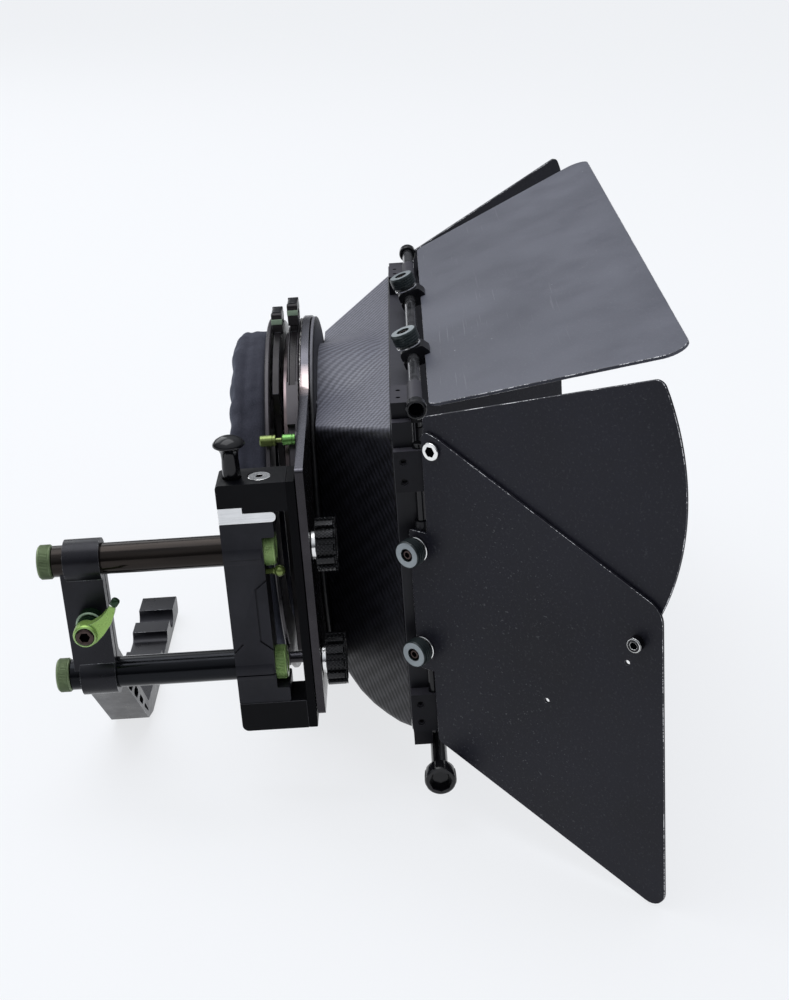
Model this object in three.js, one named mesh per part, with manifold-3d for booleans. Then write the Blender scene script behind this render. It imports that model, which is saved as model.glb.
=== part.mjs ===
// Matte box with a swing-away side mount, carried on two 15 mm camera rods.
// Millimetres. +X is the way the lens looks, +Z up, and +Y the far side; the side mount is at -Y.
// The origin is on the rear face of the support arm, midway between the two camera rods.
import * as THREE from 'three';
import { mergeVertices } from 'three/addons/utils/BufferGeometryUtils.js';
import Module from 'manifold-3d';

const wasm = await Module();
wasm.setup();

// Running and fitting gaps, and the overrun of every cutting tool.
const gap = { fit: 0.08, turned: 0.35, face: 0.3, overrun: 4 };
// Facets round a circle, for small pins, knobs, rods and the big rings.
const sides = { pin: 10, knob: 14, rod: 20, ring: 56 };

// Support arm: rear clamp on the side rods, ribbed leg, and open half seats for the camera rods.
const cameraRod = { diameter: 15, spacing: 60, belowLens: 85 };
const arm = {
  width: 20, thickness: 11, webThickness: 12, bossWall: 2.6, slit: 1.6,
  heelHeight: 41, heelNear: 5, toeNear: 56.5, shoulderHeight: 20, shoulderReach: 62, toeRadius: 4,
  hornReach: 27, reliefFrom: -14, reliefTo: 9.5, reliefDepth: 5, nearReach: 14, bossFrom: 2.8,
  pocketDepth: 14, pocketWall: 3, pocketRib: 3.2,
};
const pocketShare = [0.06, 0.28, 0.5, 0.72, 0.96];

// Side rods, stacked one above the other on the near side of the lens.
const sideRod = {
  diameter: 15, spacing: 60.7, besideLens: 134, belowLens: 3, frontEnd: 96.4,
  upperRear: -3.4, lowerRear: -3, capDiameter: 16.6, rearCapLength: 6.4, frontCapLength: 6,
};
const clampLever = {
  x: 11.8, aboveRodMiddle: 2, boltDiameter: 6, headDiameter: 8.4, headLength: 5,
  bossDiameter: 13.5, bossLength: 10, bossStart: 7.4, hubDiameter: 12.8, hubLength: 8,
  reach: 23.5, leanAngle: 46, tipDiameter: 6, tipLength: 5, armRoot: 11, armEnd: 5.5, armThickness: 5,
};

// Swing-away mount: block on the side rods, knuckles round it, and the upright that joins them.
const block = {
  rear: 78, front: 97, lugFront: 103, top: 44.4, bottom: -50, halfDepth: 9.6, bossRadius: 10.4,
  upperLug: 36.6, lowerLug: -42.5, grooveInset: 5.4, grooveWidth: 0.9, grooveDepth: 0.6,
  grooveTop: 12, grooveBottom: -21, grooveSlant: 6,
};
const wearPlate = { step: 11.4, tall: 8.2, low: 5.2, frontPast: 1.6, radius: 2.4 };
const swing = { x: 98, screwHead: 11, screwHeadDepth: 3.4, screwShank: 8, screwDepth: 6.4, boreSocket: 3.2, socketDepth: 2.2 };
const knuckle = { top: 64.2, bottom: -65.3, front: 110.5, halfDepth: 10, chamfer: 1.4, rearRadius: 3 };
const upright = { thickness: 4.2 };
const plunger = {
  x: 85.4, headDiameter: 15, headTop: 84.6, headRim: 79.6, rimThickness: 1.2, neckDiameter: 8.6, neckWaist: 7,
  pinDiameter: 5, pinDepth: 4.6, bore: 9, boreDepth: 9, springDiameter: 8, springWire: 1.2, springLength: 6.6, travel: 6, crownShare: 0.7, tipShare: 0.3,
};
const ballScrew = { x: 100.6, z: 17.4, shank: 2.6, ball: 5.6, depth: 6 };

// Mounting plate: a disc in front of the filter stages, with an ear out to the upright.
const plate = {
  thickness: 3.8, earTop: 62, earBottom: -59, earChamfer: 5, slotLength: 20, slotWidth: 7,
};
const heightKnob = {
  diameter: 26, length: 9.4, washerDiameter: 14, washerThickness: 2.2, shank: 6.2,
  notches: 12, notchWidth: 3, notchDepth: 2.4, sink: 6.5,
};

// Filter stages: two turning rings with a sliding tray in each, between fixed plates.
const stage = {
  radius: 95, inner: 82, thickness: 5.8, rearFace: 99.3, pitch: 8.7, bearingRadius: 88.4, bearingInner: 80,
  retainerRadius: 95.6, retainerThickness: 1.1, mouth: 80,
  webFromAngle: 34, gripFromAngle: 42, gripToAngle: 56, gripHeight: 4.4,
};
const tray = {
  thickness: 3.4, width: 114, topGap: 5, below: 71, sideBorder: 8.5, lowBorder: 2, topBorder: 8, slotGap: 0.25,
  handleWidth: 15, handleStand: 8, buttonWidth: 10, buttonHeight: 5, buttonTravel: 1.6, stemWidth: 5,
};
const roller = {
  diameter: 4.6, journal: 2.4, orbit: 99.5, angle: 37.4, hub: 8, rearFrom: 94.3, rearWeb: 2.7, frontWeb: 1.7, space: 0.15,
};
const post = { radius: 3, orbit: 102.6, nearAngle: -34, farAngle: 214, highAngle: 178, lug: 5.4 };
const rearRing = { radius: 96.2, inner: 70, thickness: 2.4, bossAngle: 22, bossDiameter: 4.8, bossLength: 4 };
const donut = { outer: 90.5, inner: 47, lip: 71.5, length: 19, wall: 2.4, folds: 9, foldDepth: 1.7, stationsRound: 54, lean: 3.5 };

// Hood: a thin shell from the round collar to the oblong front frame.
const hood = {
  collar: 95.4, collarLength: 2.4, throat: 92.4, throatLength: 5.4, wall: 1.7, front: 160, halfWidth: 136, halfHeight: 79,
  rise: 4, corner: 5, rearHalfWidth: 79, rearTop: 65.5, rearBottom: -58, coneEnd: 74.8, wallSteps: 5, cornerSteps: 3, roofSteps: 6,
};
const hoodAlongShares = [0.24, 0.38, 0.54, 0.7, 0.86, 1];
const hoodBellyShares = [0.53, 0.86, 1.04, 1.1, 1.1, 1];
const rim = { length: 10, lip: 2.6, depth: 5.4, corner: 10 };

// Flag rods and the corner brackets that hold them.
const topRod = { diameter: 6, x: 172.6, aboveRim: 8.5, reach: 136.5, capDiameter: 9.8, capLength: 6.5, socket: 4, socketDepth: 2.6 };
const bottomRod = { diameter: 8, pastTopRod: 21.5, knobDiameter: 15.5, knobLength: 9, socket: 10, socketDepth: 4, lobes: 8 };
const sideHinge = { diameter: 4.8, x: 172, outsideRim: 3.6, top: 78.5, bottom: -72.6 };
const bracket = {
  rear: 161, front: 175.6, sideHeight: 20, sideTop: 76, sideBottom: -70, sideDepth: 7.4, sideFront: 174.2,
  blockLength: 24.5, strip: 2.4, blockAbove: 4.2, footFrom: 100, footTo: 120, footWall: 1.3, screwHole: 2.6, screwDepth: 3, screwSpacing: 10.4,
};

// Flags and fans, in each flag's own plane: s runs out from the hinge axis, z is height above the lens.
const topFlag = {
  riseAngle: 18.6, thickness: 1.5, drop: 0.2, inner: 6, outer: 121.5, innerHalf: 139, outerHalf: 199, radius: 11,
  nearClamp: -62, farClamp: 42, jawWidth: 12, jawRear: 5.4, jawFront: 9, jawTop: 5, jawBottom: 4.4,
};
const sideFlag = {
  swingAngle: 38, thickness: 1.5, offset: 3.4, upright: 6, tabReach: -4.5, tabTop: 36.3, tabBottom: -36,
  topInner: 84.5, topOuter: 27, outer: 128.5, bottomOuter: -127, bottomInner: -74, innerLow: 5,
  radius: 9, upperClamp: 27.3, lowerClamp: -24.4, jawWidth: 11, hub: 7.2,
};
const fan = {
  pivotOut: 12, pivotHeight: 78.2, radius: 127, thickness: 1.4, space: 0.35, hub: 6, edgeOffset: 15.2,
  edgeAngle: 16.9, lowAngle: -29.1, corner: 8, steps: 14,
};
const pivotBolt = { head: 8.2, headLength: 1.6, shank: 4, socket: 3.6, socketDepth: 1.2, tail: 1.6, tailHead: 7 };
const stopPin = { inset: 11.7, height: 9.7, head: 7.2, headLength: 4.2, shank: 3, inside: 3.4, socket: 2.8, socketDepth: 2, hole: 2.4 };
const indexAngles = [-39.6, -63];
const flagKnob = { diameter: 13.6, length: 7, neck: 6.5, neckLength: 1.2, bore: 5, boreDepth: 1.4, screw: 3.4 };

const rad = THREE.MathUtils.degToRad;

const colours = {
  anodised: new THREE.MeshStandardMaterial({ color: 0x1b1c1f, roughness: 0.45, metalness: 0.6 }),
  green: new THREE.MeshStandardMaterial({ color: 0x5f8f43, roughness: 0.35, metalness: 0.7 }),
  silver: new THREE.MeshStandardMaterial({ color: 0xc4c7ca, roughness: 0.3, metalness: 0.9 }),
  bronze: new THREE.MeshStandardMaterial({ color: 0x4a3b39, roughness: 0.3, metalness: 0.8 }),
  carbon: new THREE.MeshStandardMaterial({ color: 0x17181b, roughness: 0.4, metalness: 0.1 }),
  sheet: new THREE.MeshStandardMaterial({ color: 0x202126, roughness: 0.6, metalness: 0.2 }),
  knob: new THREE.MeshStandardMaterial({ color: 0x3b4744, roughness: 0.5, metalness: 0.6 }),
  fabric: new THREE.MeshStandardMaterial({ color: 0x1d1e22, roughness: 0.95, metalness: 0 }),
  rubber: new THREE.MeshStandardMaterial({ color: 0x101114, roughness: 0.6, metalness: 0.1 }),
};

// Turns a closed three.js geometry into a solid that can be cut and joined.
function toSolid(geometry) {
  const bare = new THREE.BufferGeometry();
  bare.setAttribute('position', geometry.getAttribute('position'));
  if (geometry.index) bare.setIndex(geometry.index);
  const merged = mergeVertices(bare, 1e-4);
  return new wasm.Manifold(new wasm.Mesh({
    numProp: 3,
    vertProperties: new Float32Array(merged.getAttribute('position').array),
    triVerts: new Uint32Array(merged.index.array),
  }));
}

function toGeometry(solid) {
  const mesh = solid.getMesh();
  const geometry = new THREE.BufferGeometry();
  geometry.setAttribute('position', new THREE.BufferAttribute(new Float32Array(mesh.vertProperties), 3));
  geometry.setIndex(new THREE.BufferAttribute(new Uint32Array(mesh.triVerts), 1));
  geometry.computeVertexNormals();
  return geometry;
}

function join(first, ...others) {
  return others.reduce((whole, piece) => whole.add(piece), first);
}

function cut(base, ...tools) {
  return tools.reduce((left, tool) => left.subtract(tool), base);
}

// A box between pairs of coordinates.
function box(xs, ys, zs) {
  const geometry = new THREE.BoxGeometry(xs[1] - xs[0], ys[1] - ys[0], zs[1] - zs[0]);
  geometry.translate((xs[0] + xs[1]) / 2, (ys[0] + ys[1]) / 2, (zs[0] + zs[1]) / 2);
  return toSolid(geometry);
}

// Moves a shape drawn along +Y so that it runs along the named axis.
function alongAxis(geometry, axis) {
  if (axis === 'x') geometry.rotateZ(-Math.PI / 2);
  if (axis === 'z') geometry.rotateX(Math.PI / 2);
  return geometry;
}

// A body of revolution about the X, Y or Z axis: pairs of place along the axis and radius, closed on the axis.
function turned(axis, profile, centre, count) {
  const points = profile.map(([place, radius]) => new THREE.Vector2(radius, place));
  points.unshift(new THREE.Vector2(0, profile[0][0]));
  points.push(new THREE.Vector2(0, profile[profile.length - 1][0]));
  const geometry = new THREE.LatheGeometry(points, count);
  geometry.rotateY(Math.PI / count);
  alongAxis(geometry, axis);
  geometry.translate(...centre);
  const solid = toSolid(geometry);
  return solid.volume() < 0 ? toSolid(flipped(geometry)) : solid;
}

function flipped(geometry) {
  const index = geometry.index.array.slice();
  for (let corner = 0; corner < index.length; corner += 3) {
    [index[corner + 1], index[corner + 2]] = [index[corner + 2], index[corner + 1]];
  }
  const turnedOut = new THREE.BufferGeometry();
  turnedOut.setAttribute('position', geometry.getAttribute('position'));
  turnedOut.setIndex(new THREE.BufferAttribute(index, 1));
  return turnedOut;
}

// A plain round bar along an axis, from one place to another.
function bar(axis, diameter, from, to, centre, count = sides.rod) {
  return turned(axis, [[from, diameter / 2], [to, diameter / 2]], centre, count);
}

// A round hole whose flats, not its corners, lie at the stated diameter.
function bore(axis, diameter, from, to, centre, count = sides.rod) {
  return bar(axis, diameter / Math.cos(Math.PI / count), from, to, centre, count);
}

// A flat outline in the named plane, pushed from one place to another along the plane's normal.
function slab(plane, shape, from, to, curveSegments = 5) {
  const geometry = new THREE.ExtrudeGeometry(shape, { depth: to - from, bevelEnabled: false, curveSegments });
  if (plane === 'xz') {
    geometry.rotateX(Math.PI / 2);
    geometry.translate(0, to, 0);
  }
  if (plane === 'yz') {
    geometry.rotateX(Math.PI / 2);
    geometry.rotateZ(Math.PI / 2);
    geometry.translate(from, 0, 0);
  }
  if (plane === 'xy') geometry.translate(0, 0, from);
  return toSolid(geometry);
}

// A closed outline through corner points; each may carry its own corner radius as a third number.
function outline(corners) {
  const shape = new THREE.Shape();
  corners.forEach(([x, y, radius = 0], at) => {
    const before = corners[(at + corners.length - 1) % corners.length];
    const after = corners[(at + 1) % corners.length];
    const here = new THREE.Vector2(x, y);
    const back = new THREE.Vector2(before[0], before[1]).sub(here);
    const ahead = new THREE.Vector2(after[0], after[1]).sub(here);
    const start = here.clone().addScaledVector(back.clone().normalize(), Math.min(radius, back.length() / 2));
    const end = here.clone().addScaledVector(ahead.clone().normalize(), Math.min(radius, ahead.length() / 2));
    if (at === 0) shape.moveTo(start.x, start.y);
    else shape.lineTo(start.x, start.y);
    if (radius > 0) shape.quadraticCurveTo(x, y, end.x, end.y);
  });
  shape.closePath();
  return shape;
}

function rectangle(x0, x1, y0, y1, radius = 0) {
  return outline([[x0, y0, radius], [x1, y0, radius], [x1, y1, radius], [x0, y1, radius]]);
}

function hexagon(across) {
  const corner = across / Math.sqrt(3);
  return outline(Array.from({ length: 6 }, (_, at) => [
    corner * Math.cos(at * Math.PI / 3), corner * Math.sin(at * Math.PI / 3),
  ]));
}

// Joins rings of points, all of one length, into a closed skin; the last ring meets the first.
function closedRings(rings) {
  const count = rings[0].length;
  const positions = rings.flat(2);
  const index = [];
  rings.forEach((ring, at) => {
    const next = (at + 1) % rings.length;
    for (let side = 0; side < count; side += 1) {
      const beside = (side + 1) % count;
      const a = at * count + side;
      const b = at * count + beside;
      const c = next * count + beside;
      const d = next * count + side;
      index.push(a, b, c, a, c, d);
    }
  });
  const geometry = new THREE.BufferGeometry();
  geometry.setAttribute('position', new THREE.BufferAttribute(new Float32Array(positions), 3));
  geometry.setIndex(new THREE.BufferAttribute(new Uint32Array(index), 1));
  const solid = toSolid(geometry);
  return solid.volume() < 0 ? toSolid(flipped(geometry)) : solid;
}

const group = new THREE.Group();
const mountDrop = cameraRod.belowLens + (arm.thickness + arm.reliefDepth) / 2;
const lensFrame = new THREE.Group();
lensFrame.position.z = mountDrop;
group.add(lensFrame);

function place(name, solid, material, parent = lensFrame) {
  const mesh = new THREE.Mesh(toGeometry(solid), material);
  mesh.name = name;
  parent.add(mesh);
  return mesh;
}

// Places that several pieces share.
const rodY = -sideRod.besideLens;
const rodMiddle = -sideRod.belowLens;
const upperRodZ = rodMiddle + sideRod.spacing / 2;
const lowerRodZ = rodMiddle - sideRod.spacing / 2;
const boreDiameter = sideRod.diameter + 2 * gap.fit;

// Support arm.
{
  const top = -cameraRod.belowLens;
  const under = top - arm.thickness;
  const bossRadius = sideRod.diameter / 2 + arm.bossWall;
  const near = rodY - arm.webThickness / 2;
  const far = rodY + arm.webThickness / 2;
  const seats = [-cameraRod.spacing / 2, cameraRod.spacing / 2];
  const heel = rodMiddle - arm.heelHeight + sideRod.belowLens;
  const profile = outline([
    [near, upperRodZ], [near, lowerRodZ - bossRadius / 2, arm.toeRadius], [rodY + arm.heelNear, heel],
    [rodY + arm.toeNear, under + arm.toeRadius, arm.toeRadius], [rodY + arm.toeNear + arm.nearReach, under, arm.toeRadius],
    [seats[1] + arm.hornReach, under, arm.toeRadius / 2], [seats[1] + arm.hornReach, top, arm.toeRadius / 2],
    [rodY + arm.shoulderReach, top, arm.toeRadius], [far, rodMiddle - arm.shoulderHeight, arm.toeRadius],
    [far, upperRodZ],
  ]);
  const pieces = [slab('yz', profile, 0, arm.width)];
  [upperRodZ, lowerRodZ].forEach((z) => {
    pieces.push(bar('x', 2 * bossRadius, arm.bossFrom, arm.width, [0, rodY, z]));
  });
  const cuts = [upperRodZ, lowerRodZ].map((z) => bar(
    'x', boreDiameter, -gap.overrun, arm.width + gap.overrun, [0, rodY, z],
  ));
  seats.forEach((y) => cuts.push(bore(
    'x', cameraRod.diameter + 2 * gap.fit, -gap.overrun, arm.width + gap.overrun, [0, y, top],
  )));
  cuts.push(slab('yz', outline([
    [arm.reliefFrom, top + gap.overrun], [arm.reliefFrom, top - arm.reliefDepth, arm.reliefDepth],
    [arm.reliefTo, top - arm.reliefDepth, arm.reliefDepth], [arm.reliefTo, top + gap.overrun],
  ]), -gap.overrun, arm.width + gap.overrun));
  cuts.push(box([-gap.overrun, arm.width + gap.overrun], [rodY - arm.slit / 2, rodY + arm.slit / 2], [lowerRodZ, upperRodZ]));
  cuts.push(bore('y', clampLever.boltDiameter + 2 * gap.fit, near - bossRadius, far - arm.bossWall,
    [clampLever.x, 0, rodMiddle + clampLever.aboveRodMiddle], sides.pin));
  // Pockets between slanting ribs in the front face of the leg.
  const foot = under + arm.pocketWall;
  const head = rodMiddle - arm.heelHeight - arm.pocketWall;
  const nearFoot = rodY + arm.toeNear + arm.pocketWall;
  const farFoot = rodY + arm.shoulderReach - arm.pocketWall;
  for (let at = 0; at + 1 < pocketShare.length; at += 1) {
    const from = pocketShare[at];
    const to = pocketShare[at + 1] - arm.pocketRib / (head - foot);
    const lower = THREE.MathUtils.lerp(head, foot, to);
    const upper = THREE.MathUtils.lerp(head, foot, from);
    const nearAt = (z) => THREE.MathUtils.mapLinear(z, head, foot, rodY + arm.heelNear + arm.pocketWall * 2, nearFoot + arm.pocketWall);
    const farAt = (z) => THREE.MathUtils.mapLinear(
      z, rodMiddle - arm.shoulderHeight, -cameraRod.belowLens, far - arm.pocketWall, farFoot - arm.pocketWall,
    );
    cuts.push(slab('yz', outline([
      [nearAt(upper), upper], [nearAt(lower), lower], [farAt(lower), lower], [farAt(upper), upper],
    ]), arm.width - arm.pocketDepth, arm.width + gap.overrun));
  }
  place('support_arm', cut(join(...pieces), ...cuts), colours.anodised);
}

// Side rods and their screwed end caps.
[['upper', upperRodZ, sideRod.upperRear], ['lower', lowerRodZ, sideRod.lowerRear]].forEach(([name, z, rear]) => {
  place(`rod_${name}`, bar('x', sideRod.diameter, rear, sideRod.frontEnd, [0, rodY, z]), colours.anodised);
  place(`rod_cap_${name}_rear`, bar('x', sideRod.capDiameter, rear - sideRod.rearCapLength, rear, [0, rodY, z]), colours.green);
  place(`rod_cap_${name}_front`, bar(
    'x', sideRod.capDiameter, sideRod.frontEnd, sideRod.frontEnd + sideRod.frontCapLength, [0, rodY, z],
  ), colours.green);
});

// Clamp lever on the near side of the arm: bolt, ribbed boss and the lever itself.
{
  const z = rodMiddle + clampLever.aboveRodMiddle;
  const bossEnd = rodY - clampLever.bossStart - clampLever.bossLength;
  const hubEnd = bossEnd - clampLever.hubLength;
  const centre = [clampLever.x, 0, z];
  const bossHole = clampLever.boltDiameter + 2 * gap.fit;
  place('lever_boss', cut(
    join(
      bar('y', clampLever.bossDiameter, bossEnd + gap.face, rodY - arm.webThickness / 2, centre, sides.knob),
    ),
    bore('y', bossHole, bossEnd - gap.overrun, rodY + gap.overrun, centre, sides.pin),
  ), colours.green);
  place('lever_bolt', cut(
    join(
      bar('y', clampLever.boltDiameter, hubEnd, rodY + arm.webThickness / 2 - arm.bossWall - gap.face, centre, sides.pin),
      bar('y', clampLever.headDiameter, hubEnd - gap.face, hubEnd + clampLever.headLength, centre, sides.knob),
    ),
    slab('xz', hexagon(clampLever.headDiameter / 2), hubEnd - gap.overrun, hubEnd + clampLever.headLength / 2)
      .translate([clampLever.x, 0, z]),
  ), colours.bronze);
  const lean = rad(clampLever.leanAngle);
  const along = (distance, across) => [
    clampLever.x + distance * Math.cos(lean) - across * Math.sin(lean),
    z + distance * Math.sin(lean) + across * Math.cos(lean),
  ];
  const bladeMiddle = hubEnd + clampLever.hubLength / 2;
  const blade = slab('xz', outline([
    [...along(0, -clampLever.armRoot / 2), clampLever.armThickness],
    [...along(clampLever.reach, -clampLever.armEnd / 2), clampLever.armEnd / 3],
    [...along(clampLever.reach, clampLever.armEnd / 2), clampLever.armEnd / 3],
    [...along(0, clampLever.armRoot / 2), clampLever.armThickness],
  ]), bladeMiddle - clampLever.armThickness / 2, bladeMiddle + clampLever.armThickness / 2);
  const [tipX, tipZ] = along(clampLever.reach, 0);
  const tip = bar('y', clampLever.tipDiameter, bladeMiddle - clampLever.tipLength / 2,
    bladeMiddle + clampLever.tipLength / 2, [tipX, 0, tipZ], sides.pin);
  place('clamp_lever', cut(
    join(bar('y', clampLever.hubDiameter, hubEnd + gap.face, bossEnd, centre, sides.rod), blade, tip),
    bore('y', bossHole, hubEnd - gap.overrun, bossEnd + gap.overrun, centre, sides.pin),
    bore('y', clampLever.headDiameter + 2 * gap.fit, hubEnd - gap.overrun, hubEnd + clampLever.headLength + gap.fit, centre, sides.knob),
  ), colours.green);
}

// Rod block, with bosses round the rods, notches for the front caps and a grooved panel between.
const pivotX = swing.x;
{
  const near = rodY - block.halfDepth;
  const far = rodY + block.halfDepth;
  const body = slab('xz', outline([
    [block.rear, block.bottom], [block.lugFront, block.bottom], [block.lugFront, block.lowerLug],
    [block.front, block.lowerLug], [block.front, block.upperLug], [block.lugFront, block.upperLug],
    [block.lugFront, block.top], [block.rear, block.top],
  ]), near, far);
  const pieces = [body];
  const cuts = [];
  [upperRodZ, lowerRodZ].forEach((z) => {
    pieces.push(bar('x', 2 * block.bossRadius, block.rear, sideRod.frontEnd - gap.face, [0, rodY, z]));
    cuts.push(bar('x', boreDiameter, block.rear - gap.overrun, block.lugFront + gap.overrun, [0, rodY, z]));
    cuts.push(bore('x', sideRod.capDiameter + 2 * gap.face, sideRod.frontEnd - gap.face, block.lugFront + gap.overrun, [0, rodY, z]));
  });
  cuts.push(bore('z', swing.screwShank + 2 * gap.fit, block.top - swing.screwDepth, block.top + gap.overrun,
    [pivotX, rodY, 0], sides.knob));
  cuts.push(bore('z', swing.screwShank + 2 * gap.fit, block.bottom - gap.overrun, block.bottom + swing.screwDepth,
    [pivotX, rodY, 0], sides.knob));
  cuts.push(bore('z', plunger.pinDiameter + 2 * gap.fit, block.top - plunger.pinDepth, block.top + gap.overrun,
    [plunger.x, rodY, 0], sides.pin));
  // Grooves that frame the panel between the bosses.
  const grooveFace = near + block.grooveDepth;
  const lines = [block.rear + block.grooveInset, block.front - block.grooveInset].map((x, at) => {
    const outward = at === 0 ? -block.grooveInset : block.grooveInset;
    return [[x + outward, block.grooveTop], [x, block.grooveTop - block.grooveSlant],
      [x, block.grooveBottom + block.grooveSlant], [x + outward, block.grooveBottom]];
  });
  lines.forEach((line) => {
    for (let at = 0; at + 1 < line.length; at += 1) {
      const a = new THREE.Vector2(...line[at]);
      const b = new THREE.Vector2(...line[at + 1]);
      const side = b.clone().sub(a).normalize().rotateAround(new THREE.Vector2(), Math.PI / 2)
        .multiplyScalar(block.grooveWidth / 2);
      cuts.push(slab('xz', outline([
        [a.x - side.x, a.y - side.y], [b.x - side.x, b.y - side.y], [b.x + side.x, b.y + side.y], [a.x + side.x, a.y + side.y],
      ]), near - gap.overrun, grooveFace));
    }
  });
  cuts.push(bore('x', ballScrew.shank + 2 * gap.fit, block.front - ballScrew.depth, block.lugFront + gap.overrun,
    [0, rodY - block.halfDepth / 2, ballScrew.z], sides.pin));
  place('rod_block', cut(join(...pieces), ...cuts), colours.anodised);
}

// Silver wear plate between the block and the upper knuckle, with a step that locates it.
{
  const from = block.top;
  const front = block.lugFront + wearPlate.frontPast;
  place('wear_plate', cut(
    slab('xz', outline([
      [block.rear, from], [front, from, wearPlate.radius], [front, from + wearPlate.low, wearPlate.radius],
      [block.rear + wearPlate.step, from + wearPlate.low], [block.rear + wearPlate.step, from + wearPlate.tall],
      [block.rear, from + wearPlate.tall],
    ]), rodY - block.halfDepth, rodY + block.halfDepth),
    bore('z', swing.screwShank + 2 * gap.fit, from - gap.overrun, from + wearPlate.tall + gap.overrun, [pivotX, rodY, 0], sides.knob),
    bore('z', plunger.pinDiameter + 2 * gap.fit, from - gap.overrun, from + wearPlate.tall + gap.overrun, [plunger.x, rodY, 0], sides.pin),
  ), colours.silver);
}

// Knuckles above and below the block.
const plateTop = block.top + wearPlate.tall;
{
  const near = rodY - knuckle.halfDepth;
  const far = rodY + knuckle.halfDepth;
  const upper = slab('xz', outline([
    [block.rear, plateTop + gap.fit], [block.rear + wearPlate.step + gap.face, plateTop + gap.fit],
    [block.rear + wearPlate.step + gap.face, block.top + wearPlate.low + gap.fit],
    [knuckle.front, block.top + wearPlate.low + gap.fit], [knuckle.front, knuckle.top],
    [block.rear, knuckle.top, knuckle.chamfer],
  ]), near, far);
  const chamferTool = slab('yz', outline([
    [near - gap.overrun, knuckle.top - knuckle.chamfer - gap.overrun], [near + knuckle.chamfer + gap.overrun, knuckle.top + gap.overrun],
    [near - gap.overrun, knuckle.top + gap.overrun],
  ]), block.rear - gap.overrun, knuckle.front + gap.overrun);
  place('upper_knuckle', cut(
    upper,
    chamferTool,
    bore('z', swing.screwShank + 2 * gap.fit, block.top, knuckle.top + gap.overrun, [pivotX, rodY, 0], sides.knob),
    bore('z', swing.screwHead + 2 * gap.fit, knuckle.top - swing.screwHeadDepth, knuckle.top + gap.overrun, [pivotX, rodY, 0], sides.rod),
    bar('z', plunger.bore, knuckle.top - plunger.boreDepth, knuckle.top + gap.overrun, [plunger.x, rodY, 0], sides.knob),
    bore('z', plunger.pinDiameter + 2 * gap.fit, block.top, knuckle.top + gap.overrun, [plunger.x, rodY, 0], sides.pin),
  ), colours.anodised);
  place('lower_knuckle', cut(
    slab('xz', outline([
      [block.rear, knuckle.bottom, knuckle.rearRadius], [knuckle.front, knuckle.bottom],
      [knuckle.front, block.bottom - gap.fit], [block.rear, block.bottom - gap.fit],
    ]), near, far),
    bore('z', swing.screwShank + 2 * gap.fit, knuckle.bottom - gap.overrun, block.bottom + gap.overrun, [pivotX, rodY, 0], sides.knob),
    bore('z', swing.screwHead + 2 * gap.fit, knuckle.bottom - gap.overrun, knuckle.bottom + swing.screwHeadDepth, [pivotX, rodY, 0], sides.rod),
  ), colours.anodised);
  place('upright', cut(
    box([knuckle.front, knuckle.front + upright.thickness], [near, far], [knuckle.bottom, knuckle.top]),
    ...[upperRodZ, lowerRodZ].map((z) => bore(
      'x', heightKnob.shank + 2 * gap.fit, knuckle.front - gap.overrun, knuckle.front + upright.thickness + gap.overrun,
      [0, rodY, z], sides.pin,
    )),
  ), colours.anodised);
}

// Pivot screws, one down through the upper knuckle and one up through the lower.
{
  const socket = (from, to) => slab('xy', hexagon(swing.boreSocket), from, to).translate([pivotX, rodY, 0]);
  place('pivot_screw_upper', cut(
    join(
      bar('z', swing.screwHead, knuckle.top - swing.screwHeadDepth + gap.fit, knuckle.top - gap.fit, [pivotX, rodY, 0], sides.rod),
      bar('z', swing.screwShank, block.top - swing.screwDepth + gap.face, knuckle.top - swing.screwHeadDepth + gap.face, [pivotX, rodY, 0], sides.knob),
    ),
    socket(knuckle.top - swing.socketDepth, knuckle.top + gap.overrun),
  ), colours.silver);
  place('pivot_screw_lower', cut(
    join(
      bar('z', swing.screwHead, knuckle.bottom + gap.fit, knuckle.bottom + swing.screwHeadDepth - gap.fit, [pivotX, rodY, 0], sides.rod),
      bar('z', swing.screwShank, knuckle.bottom + swing.screwHeadDepth - gap.face, block.bottom + swing.screwDepth - gap.face,
        [pivotX, rodY, 0], sides.knob),
    ),
    socket(knuckle.bottom - gap.overrun, knuckle.bottom + swing.socketDepth),
  ), colours.silver);
}

// Pull plunger that drops through the knuckle and the wear plate into the block, and its spring.
{
  const centre = [plunger.x, rodY, 0];
  const pinFoot = block.top + gap.face;
  const collar = knuckle.top - plunger.boreDepth + plunger.springLength + gap.face;
  const radii = { head: plunger.headDiameter / 2, neck: plunger.neckDiameter / 2, waist: plunger.neckWaist / 2 };
  place('plunger', turned('z', [
    [pinFoot, plunger.pinDiameter / 2], [collar, plunger.pinDiameter / 2],
    [collar, radii.neck - gap.face], [knuckle.top + plunger.rimThickness, radii.neck],
    [plunger.headRim - plunger.travel, radii.waist], [plunger.headRim - plunger.rimThickness, radii.neck],
    [plunger.headRim, radii.head], [plunger.headRim + plunger.rimThickness, radii.head],
    [plunger.headTop - plunger.rimThickness, radii.head * plunger.crownShare], [plunger.headTop, radii.head * plunger.tipShare],
  ], centre, sides.knob), colours.anodised);
  const springFoot = knuckle.top - plunger.boreDepth;
  place('plunger_spring', cut(
    bar('z', plunger.springDiameter, springFoot, springFoot + plunger.springLength, centre, sides.knob),
    bar('z', plunger.springDiameter - 2 * plunger.springWire, springFoot - gap.overrun, springFoot + plunger.springLength + gap.overrun, centre, sides.knob),
  ), colours.silver);
}

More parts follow.
